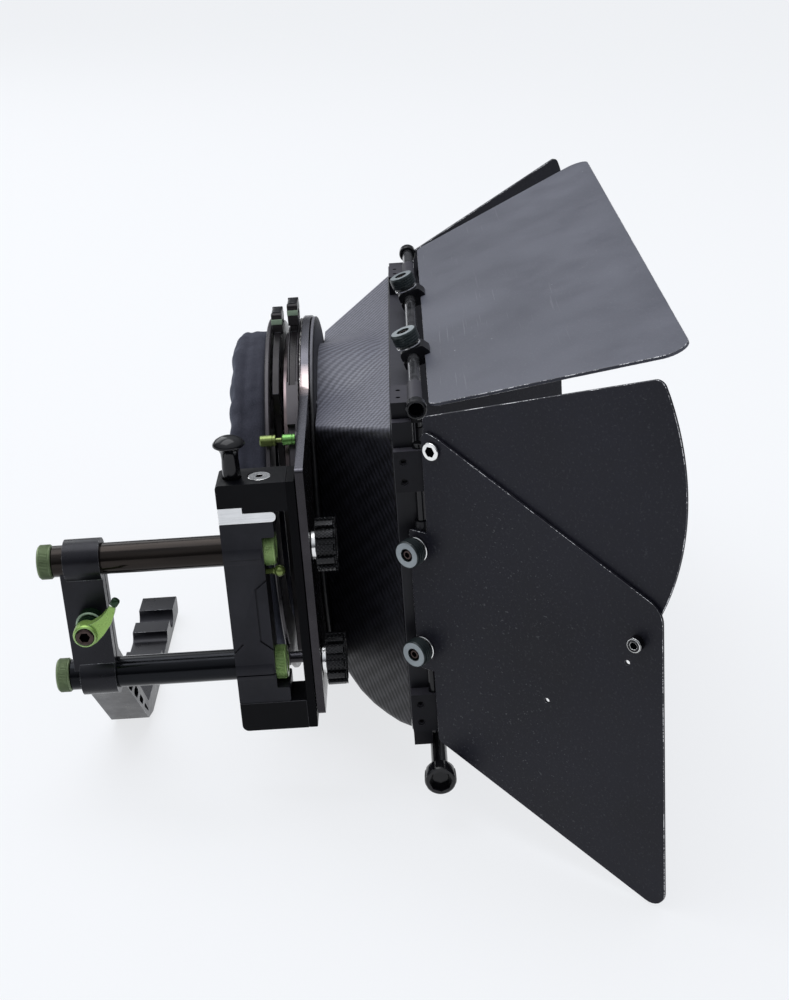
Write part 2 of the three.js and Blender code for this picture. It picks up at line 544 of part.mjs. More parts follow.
// Small ball-headed thumb screw in the front face of the block.
{
  const y = rodY - block.halfDepth / 2;
  const radius = ballScrew.ball / 2;
  const middle = ballScrew.x + radius;
  const arc = [150, 120, 90, 60, 30, 0].map((degrees) => [
    middle - radius * Math.cos(rad(180 - degrees)) * -1, radius * Math.sin(rad(degrees)) + (degrees === 0 ? radius / 6 : 0),
  ]).reverse();
  const profile = [
    [block.front - ballScrew.depth + gap.face, ballScrew.shank / 2], [ballScrew.x - gap.face, ballScrew.shank / 2],
    ...arc.map(([x, r]) => [2 * middle - x, r]),
  ].sort((a, b) => a[0] - b[0]);
  place('ball_screw', turned('x', profile, [0, y, ballScrew.z], sides.pin), colours.green);
}

// Stations along the lens axis for the filter stages.
const rearStage = stage.rearFace;
const frontStage = rearStage + stage.pitch;
const plateRear = frontStage + stage.thickness + gap.face + stage.retainerThickness;
const plateFront = plateRear + plate.thickness;
const aroundLens = (radius, degrees) => [-radius * Math.cos(rad(degrees)), radius * Math.sin(rad(degrees))];
const postAngles = [post.nearAngle, post.farAngle, post.highAngle];

// Mounting plate with its ear, slots and three posts that carry the rear ring.
{
  const earNear = rodY - knuckle.halfDepth;
  const disc = bar('x', 2 * rearRing.radius, plateRear, plateFront, [0, 0, 0], sides.ring);
  const ear = slab('yz', outline([
    [earNear, plate.earBottom, plate.earChamfer], [0, plate.earBottom], [0, plate.earTop], [earNear, plate.earTop, plate.earChamfer],
  ]), plateRear, plateFront);
  const cuts = [bar('x', 2 * stage.mouth, plateRear - gap.overrun, plateFront + gap.overrun, [0, 0, 0], sides.ring)];
  [upperRodZ, lowerRodZ].forEach((z) => cuts.push(slab('yz', rectangle(
    rodY - plate.slotWidth / 2, rodY + plate.slotWidth / 2, z - plate.slotLength / 2, z + plate.slotLength / 2, plate.slotWidth / 2,
  ), plateRear - gap.overrun, plateFront + gap.overrun)));
  const posts = postAngles.map((degrees) => bar(
    'x', 2 * post.radius, rearStage - gap.face, plateRear + plate.thickness / 2, [0, ...aroundLens(post.orbit, degrees)], sides.pin,
  ));
  const lugs = postAngles.map((degrees) => bar(
    'x', 2 * post.lug, plateRear, plateFront, [0, ...aroundLens(post.orbit - post.radius / 2, degrees)], sides.knob,
  ));
  place('mounting_plate', cut(join(disc, ear, ...posts, ...lugs), ...cuts), colours.anodised);
}

// Castellated height-clamp knobs, whose shanks run through the slots into the upright.
[['upper', upperRodZ], ['lower', lowerRodZ]].forEach(([name, z]) => {
  const washerFrom = plateFront + gap.face;
  const knobFrom = washerFrom + heightKnob.washerThickness;
  const knobTo = knobFrom + heightKnob.length;
  const centre = [0, rodY, z];
  const notches = Array.from({ length: heightKnob.notches }, (_, at) => {
    const geometry = new THREE.BoxGeometry(
      heightKnob.length + 2 * gap.overrun, heightKnob.notchDepth + gap.overrun, heightKnob.notchWidth,
    );
    geometry.translate((knobFrom + knobTo) / 2, heightKnob.diameter / 2 - heightKnob.notchDepth + (heightKnob.notchDepth + gap.overrun) / 2, 0);
    geometry.rotateX(at * 2 * Math.PI / heightKnob.notches);
    geometry.translate(...centre);
    return toSolid(geometry);
  });
  place(`height_knob_${name}`, cut(
    join(
      bar('x', heightKnob.diameter, knobFrom, knobTo, centre, sides.rod),
      bar('x', heightKnob.washerDiameter, washerFrom, knobFrom + gap.fit, centre, sides.knob),
      bar('x', heightKnob.shank, knuckle.front + gap.face, knobFrom + gap.fit, centre, sides.pin),
    ),
    ...notches,
    bar('x', heightKnob.sink, knobTo - heightKnob.washerThickness, knobTo + gap.overrun, centre, sides.pin),
  ), colours.anodised);
});

// Thin retainer ring on the rear face of the mounting plate.
const ringOf = (outer, inner, from, to) => cut(
  bar('x', 2 * outer, from, to, [0, 0, 0], sides.ring),
  bar('x', 2 * inner, from - gap.overrun, to + gap.overrun, [0, 0, 0], sides.ring),
);
place('retainer_ring', ringOf(
  stage.retainerRadius, stage.mouth, plateRear - stage.retainerThickness, plateRear,
), colours.bronze);
place('bearing_ring', ringOf(
  stage.bearingRadius, stage.bearingInner, rearStage + stage.thickness + gap.face, frontStage - gap.face,
), colours.bronze);

// Turning stage rings, each with a grip, a web that carries its cross pin, its tray and the tray's release button.
const stageSector = (outer, fromAngle, toAngle, from, to) => {
  const shape = new THREE.Shape();
  shape.absarc(0, 0, outer, Math.PI - rad(toAngle), Math.PI - rad(fromAngle), false);
  shape.absarc(0, 0, stage.radius - stage.gripHeight, Math.PI - rad(fromAngle), Math.PI - rad(toAngle), true);
  shape.closePath();
  return slab('yz', shape, from, to, sides.pin);
};
[['rear', rearStage, roller.rearWeb], ['front', frontStage, roller.frontWeb]].forEach(([name, from, webThickness], at) => {
  const to = from + stage.thickness;
  const middle = (from + to) / 2;
  const trayFrom = middle - tray.thickness / 2;
  const trayTo = middle + tray.thickness / 2;
  const rollerCentre = [0, ...aroundLens(roller.orbit, roller.angle)];
  const reach = stage.radius + stage.gripHeight;
  const webFrom = to - webThickness;
  const ring = join(
    ringOf(stage.radius, stage.inner, from, to),
    stageSector(reach, stage.gripFromAngle, stage.gripToAngle, from, to),
    stageSector(reach, stage.webFromAngle, stage.gripToAngle, webFrom, to),
    bar('x', roller.hub, webFrom, to, rollerCentre, sides.knob),
  );
  const trayWay = box(
    [trayFrom - tray.slotGap, trayTo + tray.slotGap],
    [-tray.width / 2 - tray.slotGap, tray.width / 2 + tray.slotGap],
    [-tray.below - tray.slotGap, stage.radius + gap.overrun],
  );
  const journalWay = bore('x', roller.journal + 2 * gap.fit, webFrom - gap.overrun, to + gap.overrun, rollerCentre, sides.pin);
  place(`stage_ring_${name}`, cut(ring, trayWay, journalWay), colours.anodised);
  const barrelFrom = at === 0 ? roller.rearFrom : rearStage + stage.thickness + gap.face;
  place(`lock_roller_${name}`, join(
    bar('x', roller.diameter, barrelFrom, webFrom - roller.space, rollerCentre, sides.knob),
    bar('x', roller.journal, webFrom - gap.face, to, rollerCentre, sides.pin),
  ), colours.green);
  const trayTop = stage.inner - tray.topGap;
  const handleRoot = trayTop - tray.topBorder / 2;
  const buttonTop = stage.radius + tray.handleStand + at * stage.gripHeight;
  const handle = slab('yz', outline([
    [-tray.handleWidth / 2, handleRoot], [tray.handleWidth / 2, handleRoot],
    [tray.handleWidth / 2, buttonTop, tray.stemWidth / 2], [-tray.handleWidth / 2, buttonTop, tray.stemWidth / 2],
  ]), trayFrom, trayTo);
  const frame = cut(
    join(slab('yz', rectangle(-tray.width / 2, tray.width / 2, -tray.below, trayTop, tray.stemWidth), trayFrom, trayTo), handle),
    slab('yz', rectangle(-tray.width / 2 + tray.sideBorder, tray.width / 2 - tray.sideBorder,
      -tray.below + tray.lowBorder, trayTop - tray.topBorder, tray.stemWidth), trayFrom - gap.overrun, trayTo + gap.overrun),
    box([trayFrom - gap.overrun, trayTo + gap.overrun],
      [-tray.buttonWidth / 2 - gap.face, tray.buttonWidth / 2 + gap.face],
      [buttonTop - tray.buttonHeight - tray.buttonTravel - gap.face, buttonTop + gap.overrun]),
  );
  place(`tray_${name}`, frame, colours.anodised);
  place(`tray_button_${name}`, box(
    [from, to],
    [-tray.buttonWidth / 2, tray.buttonWidth / 2],
    [buttonTop - tray.buttonHeight, buttonTop + tray.buttonTravel],
  ), colours.green);
});

// Rear ring plate with lugs for the posts, and the fabric light seal behind it.
const rearRingFrom = rearStage - gap.face - rearRing.thickness;
{
  const lugs = postAngles.map((degrees) => bar(
    'x', 2 * post.lug, rearRingFrom, rearStage - gap.face, [0, ...aroundLens(post.orbit - post.radius / 2, degrees)], sides.knob,
  ));
  const boss = bar('x', rearRing.bossDiameter, rearRingFrom - rearRing.bossLength, rearStage - gap.face,
    [0, ...aroundLens(rearRing.radius - rearRing.bossDiameter / 2, rearRing.bossAngle)], sides.pin);
  place('rear_ring', join(
    ringOf(rearRing.radius, rearRing.inner, rearRingFrom, rearStage - gap.face), boss, ...lugs,
  ), colours.anodised);
}
{
  const count = donut.stationsRound;
  const from = rearRingFrom - gap.face;
  const back = from - donut.length;
  const middleRadius = (donut.outer + donut.inner) / 2;
  // Each section goes out along the front, over the rolled edge and back in to the lens hole.
  const section = (folded) => [
    [from, donut.lip], [from, donut.outer - donut.lean],
    [from - donut.length * 0.16, donut.outer - donut.lean * 0.3 + folded], [from - donut.length * 0.5, donut.outer + folded * 0.6],
    [from - donut.length * 0.8, donut.outer - donut.lean * 0.9 - folded], [back, donut.outer - donut.lean * 3 + folded],
    [back - donut.wall * 0.2, middleRadius - folded], [back + donut.wall, donut.inner],
    [back + donut.wall * 2.4, donut.inner], [back + donut.wall * 1.6, middleRadius],
    [back + donut.wall * 2, donut.outer - donut.lean * 3 - donut.wall], [from - donut.length * 0.4, donut.outer - donut.lean - donut.wall],
    [from - donut.wall, donut.outer - donut.lean * 2 - donut.wall], [from - donut.wall, donut.lip],
  ];
  const columns = Array.from({ length: count }, (_, at) => {
    const angle = at * 2 * Math.PI / count;
    const folded = donut.foldDepth * (0.6 * Math.sin(donut.folds * angle) + 0.4 * Math.sin((donut.folds - 4) * angle + 1));
    return section(folded).map(([x, radius]) => [x, radius * Math.cos(angle), radius * Math.sin(angle)]);
  });
  place('light_seal', closedRings(columns), colours.fabric);
}

// Hood shell: a straight-sided box that widens to the front frame, united with a cone that comes from the round collar.
const hoodRear = plateFront + gap.face;
{
  const length = hood.front - hoodRear;
  const throatShare = hood.throatLength / length;
  const sideWall = hood.wall * Math.hypot(1, (hood.halfWidth - hood.rearHalfWidth) / length);
  // One quarter of a section, from the middle of its upright side over the corner to the middle of its level side.
  const quarter = (halfWidth, halfHeight, corner) => {
    const points = [];
    for (let at = 0; at < hood.wallSteps; at += 1) points.push([halfWidth, (halfHeight - corner) * (at + 0.5) / hood.wallSteps]);
    for (let at = 0; at < hood.cornerSteps; at += 1) {
      const angle = (at + 0.5) / hood.cornerSteps * Math.PI / 2;
      points.push([halfWidth - corner + corner * Math.cos(angle), halfHeight - corner + corner * Math.sin(angle)]);
    }
    for (let at = 0; at < hood.roofSteps; at += 1) points.push([(halfWidth - corner) * (1 - (at + 0.5) / hood.roofSteps), halfHeight]);
    return points;
  };
  const section = (share, belly, inset) => {
    const x = THREE.MathUtils.lerp(hoodRear, hood.front, share);
    const halfWidth = THREE.MathUtils.lerp(hood.rearHalfWidth, hood.halfWidth, share) - inset * sideWall / hood.wall;
    const top = THREE.MathUtils.lerp(hood.rearTop, hood.rise + hood.halfHeight, share) - inset;
    const bottom = THREE.MathUtils.lerp(-hood.rearBottom, hood.halfHeight - hood.rise, belly) - inset;
    const coneShare = Math.max(share - throatShare, 0) / (1 - throatShare);
    const cone = THREE.MathUtils.lerp(hood.throat, hood.coneEnd, coneShare) - inset;
    const lift = hood.rise * coneShare;
    return [[1, 1, top], [-1, 1, top], [-1, -1, bottom], [1, -1, bottom]].flatMap(([sy, sz, height]) => {
      const points = quarter(halfWidth, height, hood.corner).map(([y, z]) => {
        const run = Math.hypot(y, z);
        const rising = sz * z / run * lift;
        const reach = rising + Math.sqrt(rising ** 2 - lift ** 2 + cone ** 2);
        const scale = share === 1 ? 1 : Math.max(reach / run, 1);
        return [x, sy * y * scale, sz * z * scale];
      });
      return sy * sz > 0 ? points : points.reverse();
    });
  };
  const collar = (x, inset) => section(0, 0, inset).map(([, y, z]) => {
    const scale = (hood.collar - inset) / Math.hypot(y, z);
    return [x, y * scale, z * scale];
  });
  const skin = (inset) => [
    collar(hoodRear, inset), collar(hoodRear + hood.collarLength, inset),
    section(throatShare, throatShare * 2, inset),
    ...hoodAlongShares.map((share, at) => section(share, hoodBellyShares[at], inset)),
  ];
  place('hood', closedRings([...skin(0), ...skin(hood.wall).reverse()]), colours.carbon);
}

// Front frame of the hood.
const rimRear = hood.front + gap.face;
const rimFront = rimRear + rim.length;
const rimHalfWidth = hood.halfWidth + rim.lip;
const rimHalfHeight = hood.halfHeight + rim.lip;
{
  const opening = {
    half: rimHalfWidth - rim.depth - rim.lip, up: rimHalfHeight - rim.depth - rim.lip,
  };
  place('hood_rim', cut(
    slab('yz', rectangle(-rimHalfWidth, rimHalfWidth, hood.rise - rimHalfHeight, hood.rise + rimHalfHeight, rim.corner), rimRear, rimFront),
    slab('yz', rectangle(-opening.half, opening.half, hood.rise - opening.up, hood.rise + opening.up, rim.corner),
      rimRear - gap.overrun, rimFront + gap.overrun),
  ), colours.anodised);
}

// Flag rods. The long ones run across above and below the frame, with caps and knobs on their ends.
const topRodZ = hood.rise + rimHalfHeight + topRod.aboveRim;
const bottomRodZ = hood.rise - rimHalfHeight - topRod.aboveRim;
{
  const centre = [topRod.x, 0, topRodZ];
  const capAt = topRod.reach + topRod.capLength;
  const sockets = [-1, 1].map((side) => slab('xz', hexagon(topRod.socket),
    side < 0 ? -capAt - gap.overrun : capAt - topRod.socketDepth,
    side < 0 ? -capAt + topRod.socketDepth : capAt + gap.overrun).translate([centre[0], 0, centre[2]]));
  place('top_rod', cut(
    join(
      bar('y', topRod.diameter, -capAt + gap.face, capAt - gap.face, centre, sides.knob),
      bar('y', topRod.capDiameter, -capAt, -topRod.reach - gap.face, centre, sides.knob),
      bar('y', topRod.capDiameter, topRod.reach + gap.face, capAt, centre, sides.knob),
    ),
    ...sockets,
  ), colours.anodised);
}
{
  const centre = [topRod.x, 0, bottomRodZ];
  const reach = topRod.reach + bottomRod.pastTopRod;
  const end = reach + bottomRod.knobLength;
  const cup = (side) => {
    const from = side < 0 ? -end - gap.overrun : end - bottomRod.socketDepth;
    const to = side < 0 ? -end + bottomRod.socketDepth : end + gap.overrun;
    return bar('y', bottomRod.socket, from, to, centre, bottomRod.lobes);
  };
  place('bottom_rod', cut(
    join(
      bar('y', bottomRod.diameter, -end + bottomRod.socketDepth, end - bottomRod.socketDepth, centre, sides.knob),
      bar('y', bottomRod.knobDiameter, -end, -reach, centre, sides.rod),
      bar('y', bottomRod.knobDiameter, reach, end, centre, sides.rod),
    ),
    cup(-1),
    cup(1),
  ), colours.rubber);
}
const sideRodY = rimHalfWidth + sideHinge.outsideRim;
const flagAt = sideFlag.offset + sideFlag.thickness / 2;

// Everything that is handed, near side and then far side.
[['near', -1], ['far', 1]].forEach(([hand, side]) => {
  const across = (a, b) => (side < 0 ? [-b, -a] : [a, b]);
  const hingeY = side * sideRodY;
  place(`side_rod_${hand}`, bar(
    'z', sideHinge.diameter, sideHinge.bottom, sideHinge.top, [sideHinge.x, hingeY, 0], sides.knob,
  ), colours.anodised);

  // Corner brackets: a block on the long rod, a block on the upright rod and a strip round the corner.
  [['upper', 1], ['lower', -1]].forEach(([level, up]) => {
    const rimEdge = hood.rise + up * (rimHalfHeight + gap.face);
    const rodZ = up > 0 ? topRodZ : bottomRodZ;
    const footHalf = bottomRod.diameter / 2 + bracket.footWall;
    const blockEnd = rodZ + (up > 0 ? bracket.blockAbove : -footHalf);
    const blockXs = [bracket.rear, up > 0 ? bracket.front : topRod.x + footHalf];
    const [blockFrom, blockTo] = up > 0 ? [topRod.reach - bracket.blockLength, topRod.reach] : [bracket.footFrom, bracket.footTo];
    const zs = up > 0 ? [rimEdge, blockEnd] : [blockEnd, rimEdge];
    const sideZs = up > 0 ? [bracket.sideTop - bracket.sideHeight, bracket.sideTop] : [bracket.sideBottom, bracket.sideBottom + bracket.sideHeight];
    const rimSide = rimHalfWidth + gap.face;
    const stripZs = up > 0 ? [rimEdge, rimEdge + bracket.strip] : [rimEdge - bracket.strip, rimEdge];
    const cornerZs = up > 0 ? [sideZs[0], stripZs[1]] : [stripZs[0], sideZs[1]];
    const bridgeFront = rimFront - gap.face;
    const long = up > 0 ? topRod.diameter : bottomRod.diameter;
    const screws = [-1, 1].map((step) => bar('y', bracket.screwHole,
      side < 0 ? hingeY - gap.overrun * 2 : hingeY - bracket.screwDepth + bracket.sideDepth / 2,
      side < 0 ? hingeY + bracket.screwDepth - bracket.sideDepth / 2 : hingeY + gap.overrun * 2,
      [bracket.rear + (sideHinge.x - bracket.rear) / 2, 0, (sideZs[0] + sideZs[1]) / 2 + step * bracket.screwSpacing / 2], sides.pin));
    place(`corner_bracket_${hand}_${level}`, cut(
      join(
        box(blockXs, across(blockFrom, blockTo), zs),
        box([bracket.rear, bridgeFront], across(blockFrom, rimSide + bracket.strip), stripZs),
        box([bracket.rear, bridgeFront], across(rimSide, rimSide + bracket.strip), cornerZs),
        box([bracket.rear, bracket.sideFront], across(rimSide, rimSide + bracket.sideDepth), sideZs),
      ),
      bore('y', long + 2 * gap.fit, -topRod.reach - gap.overrun * 6, topRod.reach + gap.overrun * 6, [topRod.x, 0, rodZ], sides.knob),
      bore('z', sideHinge.diameter + 2 * gap.fit, sideHinge.bottom - gap.face, sideHinge.top + gap.face, [sideHinge.x, hingeY, 0], sides.knob),
      ...screws,
    ), colours.anodised);
  });

  // The flag's own frame: X out along the flag, Z up, origin on the hinge axis at lens height.
  const flagFrame = new THREE.Group();
  flagFrame.position.set(sideHinge.x, hingeY, 0);
  flagFrame.rotation.z = side * rad(sideFlag.swingAngle);
  lensFrame.add(flagFrame);
  const outward = (a, b) => across(a, b);
  const sheetYs = outward(sideFlag.offset, sideFlag.offset + sideFlag.thickness);
  const pivot = [fan.pivotOut, fan.pivotHeight];
  const fromPivot = (radius, degrees) => [
    pivot[0] + radius * Math.cos(rad(degrees)), pivot[1] + radius * Math.sin(rad(degrees)),
  ];
  const stopAt = [sideFlag.outer - stopPin.inset, stopPin.height];
  const stopOrbit = Math.hypot(stopAt[0] - pivot[0], stopAt[1] - pivot[1]);
  const sheet = slab('xz', outline([
    [sideFlag.upright, sideFlag.topInner + sideFlag.radius / 3, sideFlag.upright],
    [sideFlag.upright + sideFlag.radius, sideFlag.topInner, sideFlag.radius / 3],
    [sideFlag.outer, sideFlag.topOuter, sideFlag.radius], [sideFlag.outer, sideFlag.bottomOuter, sideFlag.radius],
    [sideFlag.innerLow, sideFlag.bottomInner], [sideFlag.innerLow, sideFlag.tabBottom], [sideFlag.tabReach, sideFlag.tabBottom],
    [sideFlag.tabReach, sideFlag.tabTop], [sideFlag.upright, sideFlag.tabTop],
  ]), ...sheetYs, sides.pin / 2);
  const jaws = [sideFlag.upperClamp, sideFlag.lowerClamp].map((z) => join(
    bar('z', sideFlag.hub, z - sideFlag.jawWidth / 2, z + sideFlag.jawWidth / 2, [0, 0, 0], sides.rod),
    box([-sideFlag.hub / 2, sideFlag.hub / 2], outward(0, sideFlag.offset + gap.fit),
      [z - sideFlag.jawWidth / 2, z + sideFlag.jawWidth / 2]),
  ));
  const hingeBore = bore('z', sideHinge.diameter + 2 * gap.fit, sideHinge.bottom, sideHinge.top, [0, 0, 0], sides.knob);
  const hole = (diameter, [x, z], from = sideFlag.offset) => bar(
    'y', diameter, ...outward(from - gap.overrun, sideFlag.offset + sideFlag.thickness + gap.overrun), [x, 0, z], sides.pin,
  );
  place(`side_flag_${hand}`, cut(
    join(sheet, ...jaws),
    hingeBore,
    hole(pivotBolt.shank + 2 * gap.turned, pivot),
    hole(stopPin.shank + 2 * gap.turned, stopAt),
    ...indexAngles.map((degrees) => hole(stopPin.hole, fromPivot(stopOrbit, degrees))),
    ...[sideFlag.upperClamp, sideFlag.lowerClamp].map((z) => hole(flagKnob.screw + 2 * gap.turned, [0, z], sideHinge.diameter)),
  ), colours.sheet, flagFrame);

  // Fan: a sector that pivots behind the flag and closes the corner under the top flag.
  const fanTo = sideFlag.offset - fan.space;
  const fanYs = outward(fanTo - fan.thickness, fanTo);
  const edge = rad(fan.edgeAngle);
  const edgeStart = [pivot[0] - fan.edgeOffset * Math.sin(edge), pivot[1] + fan.edgeOffset * Math.cos(edge)];
  const edgeRun = Math.sqrt(fan.radius ** 2 - fan.edgeOffset ** 2);
  const edgeEnd = [edgeStart[0] + edgeRun * Math.cos(edge), edgeStart[1] + edgeRun * Math.sin(edge)];
  const topAngle = Math.atan2(edgeEnd[1] - pivot[1], edgeEnd[0] - pivot[0]);
  const arcPoints = Array.from({ length: fan.steps }, (_, at) => fromPivot(
    fan.radius, THREE.MathUtils.radToDeg(THREE.MathUtils.lerp(topAngle - fan.corner / fan.radius, rad(fan.lowAngle), at / (fan.steps - 1))),
  ));
  const innerTop = [Math.max(edgeStart[0], pivot[0] - fan.hub), edgeStart[1]];
  const fanShape = outline([
    [pivot[0] - fan.hub, innerTop[1], fan.hub / 2],
    [edgeEnd[0], edgeEnd[1], fan.corner], ...arcPoints,
    [pivot[0] + fan.hub * Math.cos(rad(fan.lowAngle)) / 2, pivot[1] - fan.hub, fan.hub / 2],
    [pivot[0] - fan.hub, pivot[1] - fan.hub, fan.hub / 2],
  ]);
  place(`fan_${hand}`, cut(
    slab('xz', fanShape, ...fanYs),
    bore('y', pivotBolt.shank + 2 * gap.turned, ...outward(-gap.overrun, sideFlag.offset), [pivot[0], 0, pivot[1]], sides.pin),
  ), colours.sheet, flagFrame);

  // Pivot bolt with its bright round head outside and a low nut inside the fan.
  const faceOut = sideFlag.offset + sideFlag.thickness + gap.turned;
  const fanIn = fanTo - fan.thickness - gap.turned;
  const boltAt = [pivot[0], 0, pivot[1]];
  const socketSlab = (across1, from, to, at2) => slab('xz', hexagon(across1), ...outward(from, to)).translate([at2[0], 0, at2[1]]);
  place(`pivot_bolt_${hand}`, cut(
    join(
      bar('y', pivotBolt.head, ...outward(faceOut, faceOut + pivotBolt.headLength), boltAt, sides.knob),
      bar('y', pivotBolt.shank, ...outward(fanIn - gap.fit, faceOut + gap.fit), boltAt, sides.pin),
      bar('y', pivotBolt.tailHead, ...outward(fanIn - pivotBolt.tail, fanIn), boltAt, sides.knob),
    ),
    socketSlab(pivotBolt.socket, faceOut + pivotBolt.headLength - pivotBolt.socketDepth, faceOut + pivotBolt.headLength + gap.overrun, pivot),
  ), colours.silver, flagFrame);

  // Stop pin: a cap screw through the flag that the lower edge of the fan rests on.
  const stopCentre = [stopAt[0], 0, stopAt[1]];
  place(`stop_pin_${hand}`, cut(
    join(
      bar('y', stopPin.head, ...outward(faceOut, faceOut + stopPin.headLength), stopCentre, sides.pin),
      bar('y', stopPin.shank, ...outward(sideFlag.offset - stopPin.inside, faceOut + gap.fit), stopCentre, sides.pin),
    ),
    socketSlab(stopPin.socket, faceOut + stopPin.headLength - stopPin.socketDepth, faceOut + stopPin.headLength + gap.overrun, stopAt),
  ), colours.anodised, flagFrame);

  // Clamp knobs on the flag's outer face, with the screw that grips the hinge rod.
  [['upper', sideFlag.upperClamp], ['lower', sideFlag.lowerClamp]].forEach(([level, z]) => {
    const centre = [0, 0, z];
    const neckFrom = faceOut;
    const knobFrom = neckFrom + flagKnob.neckLength;
    const knobTo = knobFrom + flagKnob.length;
    place(`flag_knob_${hand}_${level}`, cut(
      join(
        bar('y', flagKnob.diameter, ...outward(knobFrom, knobTo), centre, sides.knob),
        bar('y', flagKnob.neck, ...outward(neckFrom, knobFrom + gap.fit), centre, sides.pin),
        bar('y', flagKnob.screw, ...outward(sideHinge.diameter / 2 + gap.turned, knobFrom + gap.fit), centre, sides.pin),
      ),
      bar('y', flagKnob.bore, ...outward(knobTo - flagKnob.boreDepth, knobTo + gap.overrun), centre, sides.pin),
    ), colours.knob, flagFrame);
  });
});

// Top flag, in a frame whose X runs out along the flag from the hinge axis.
{
  const frame = new THREE.Group();
  frame.position.set(topRod.x, 0, topRodZ);
  frame.rotation.y = -rad(topFlag.riseAngle);
  lensFrame.add(frame);
  const sheet = slab('xy', outline([
    [topFlag.inner, -topFlag.innerHalf, topFlag.radius / 3], [topFlag.outer, -topFlag.outerHalf, topFlag.radius],
    [topFlag.outer, topFlag.outerHalf, topFlag.radius], [topFlag.inner, topFlag.innerHalf, topFlag.radius / 3],
  ]), -topFlag.drop - topFlag.thickness, -topFlag.drop, sides.pin / 2);
  const jaws = [topFlag.nearClamp, topFlag.farClamp].map((y) => box(
    [-topFlag.jawRear, topFlag.jawFront], [y - topFlag.jawWidth / 2, y + topFlag.jawWidth / 2], [-topFlag.jawBottom, topFlag.jawTop],
  ));
  place('top_flag', cut(
    join(sheet, ...jaws),
    bore('y', topRod.diameter + 2 * gap.fit, topFlag.nearClamp * 2, topFlag.farClamp * 2, [0, 0, 0], sides.knob),
    ...[topFlag.nearClamp, topFlag.farClamp].map((y) => bore(
      'z', flagKnob.screw + 2 * gap.turned, 0, topFlag.jawTop + gap.overrun, [0, y, 0], sides.pin,
    )),
  ), colours.sheet, frame);
  [['near', topFlag.nearClamp], ['far', topFlag.farClamp]].forEach(([hand, y]) => {
    const neckFrom = topFlag.jawTop + gap.turned;
    const knobFrom = neckFrom + flagKnob.neckLength;
    const knobTo = knobFrom + flagKnob.length;
    place(`top_knob_${hand}`, cut(
      join(
        bar('z', flagKnob.diameter, knobFrom, knobTo, [0, y, 0], sides.knob),
        bar('z', flagKnob.neck, neckFrom, knobFrom + gap.fit, [0, y, 0], sides.pin),
        bar('z', flagKnob.screw, topRod.diameter / 2 + gap.turned, knobFrom + gap.fit, [0, y, 0], sides.pin),
      ),
      bar('z', flagKnob.bore, knobTo - flagKnob.boreDepth, knobTo + gap.overrun, [0, y, 0], sides.pin),
    ), colours.knob, frame);
  });
}

export default group;
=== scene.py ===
# A matte box on its side rods, seen from the side of its swing mount.
import math

import bmesh
import bpy
from mathutils import Matrix, Vector, noise


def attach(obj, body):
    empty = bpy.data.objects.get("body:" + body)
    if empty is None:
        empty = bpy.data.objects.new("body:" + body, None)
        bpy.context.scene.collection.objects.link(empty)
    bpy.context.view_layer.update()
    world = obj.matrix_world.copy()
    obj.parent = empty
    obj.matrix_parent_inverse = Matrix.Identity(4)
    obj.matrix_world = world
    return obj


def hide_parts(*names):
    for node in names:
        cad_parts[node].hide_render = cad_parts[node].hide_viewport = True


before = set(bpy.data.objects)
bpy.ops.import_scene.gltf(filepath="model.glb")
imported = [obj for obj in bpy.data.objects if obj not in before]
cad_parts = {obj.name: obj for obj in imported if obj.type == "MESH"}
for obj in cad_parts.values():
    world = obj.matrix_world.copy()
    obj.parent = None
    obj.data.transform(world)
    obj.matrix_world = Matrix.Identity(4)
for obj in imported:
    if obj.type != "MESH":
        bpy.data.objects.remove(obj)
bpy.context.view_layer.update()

# Lengths are in millimetres about the lens axis, and become metres when a piece is finished.
LENS_HEIGHT = 93.0
TO_FRAME = Matrix.Scale(0.001, 4) @ Matrix.Translation((0, 0, LENS_HEIGHT))
ROD_Y = -134.0
UPPER_ROD_Z = 27.35
LOWER_ROD_Z = -33.35
ROD_ZS = (UPPER_ROD_Z, LOWER_ROD_Z)
PIVOT_X = 98.0
PLUNGER_X = 85.4
LEVER_X, LEVER_Z = 11.8, -1.0
THUMB_SCREW = (0, ROD_Y - 4.8, 17.4)
FLAG_SWING = 38.0
TOP_FLAG_RISE = 18.6
SIDE_HINGE = (172.0, 142.2)
TOP_HINGE = (172.6, 94.1)
BOTTOM_ROD_Z = -86.1
SIDES = (("near", -1), ("far", 1))
POST_ANGLES = (-34, 214, 178)


# ---------------------------------------------------------------- shapes

def face_up(shape):
    bmesh.ops.remove_doubles(shape, verts=shape.verts, dist=1e-4)
    bmesh.ops.recalc_face_normals(shape, faces=shape.faces)
    return shape


def turn_to(shape, axis):
    """Lays a shape that stands along Z along the given axis."""
    if axis != "z":
        angle, about = {"x": (math.pi / 2, "Y"), "y": (-math.pi / 2, "X")}[axis]
        bmesh.ops.rotate(shape, verts=shape.verts, cent=(0, 0, 0), matrix=Matrix.Rotation(angle, 3, about))
    return shape


def turned(axis, profile, centre=(0, 0, 0), steps=64):
    """A body of revolution: pairs of place along the axis and radius, spun full circle."""
    shape = bmesh.new()
    corners = [shape.verts.new((radius, 0, place)) for place, radius in profile]
    edges = [shape.edges.new(pair) for pair in zip(corners, corners[1:])]
    if profile[0][1] > 0 and profile[-1][1] > 0:
        edges.append(shape.edges.new((corners[-1], corners[0])))
    bmesh.ops.spin(
        shape, geom=corners + edges, cent=(0, 0, 0), axis=(0, 0, 1), dvec=(0, 0, 0),
        angle=2 * math.pi, steps=steps, use_merge=True, use_duplicate=False,
    )
    face_up(shape)
    turn_to(shape, axis)
    bmesh.ops.translate(shape, verts=shape.verts, vec=centre)
    return shape


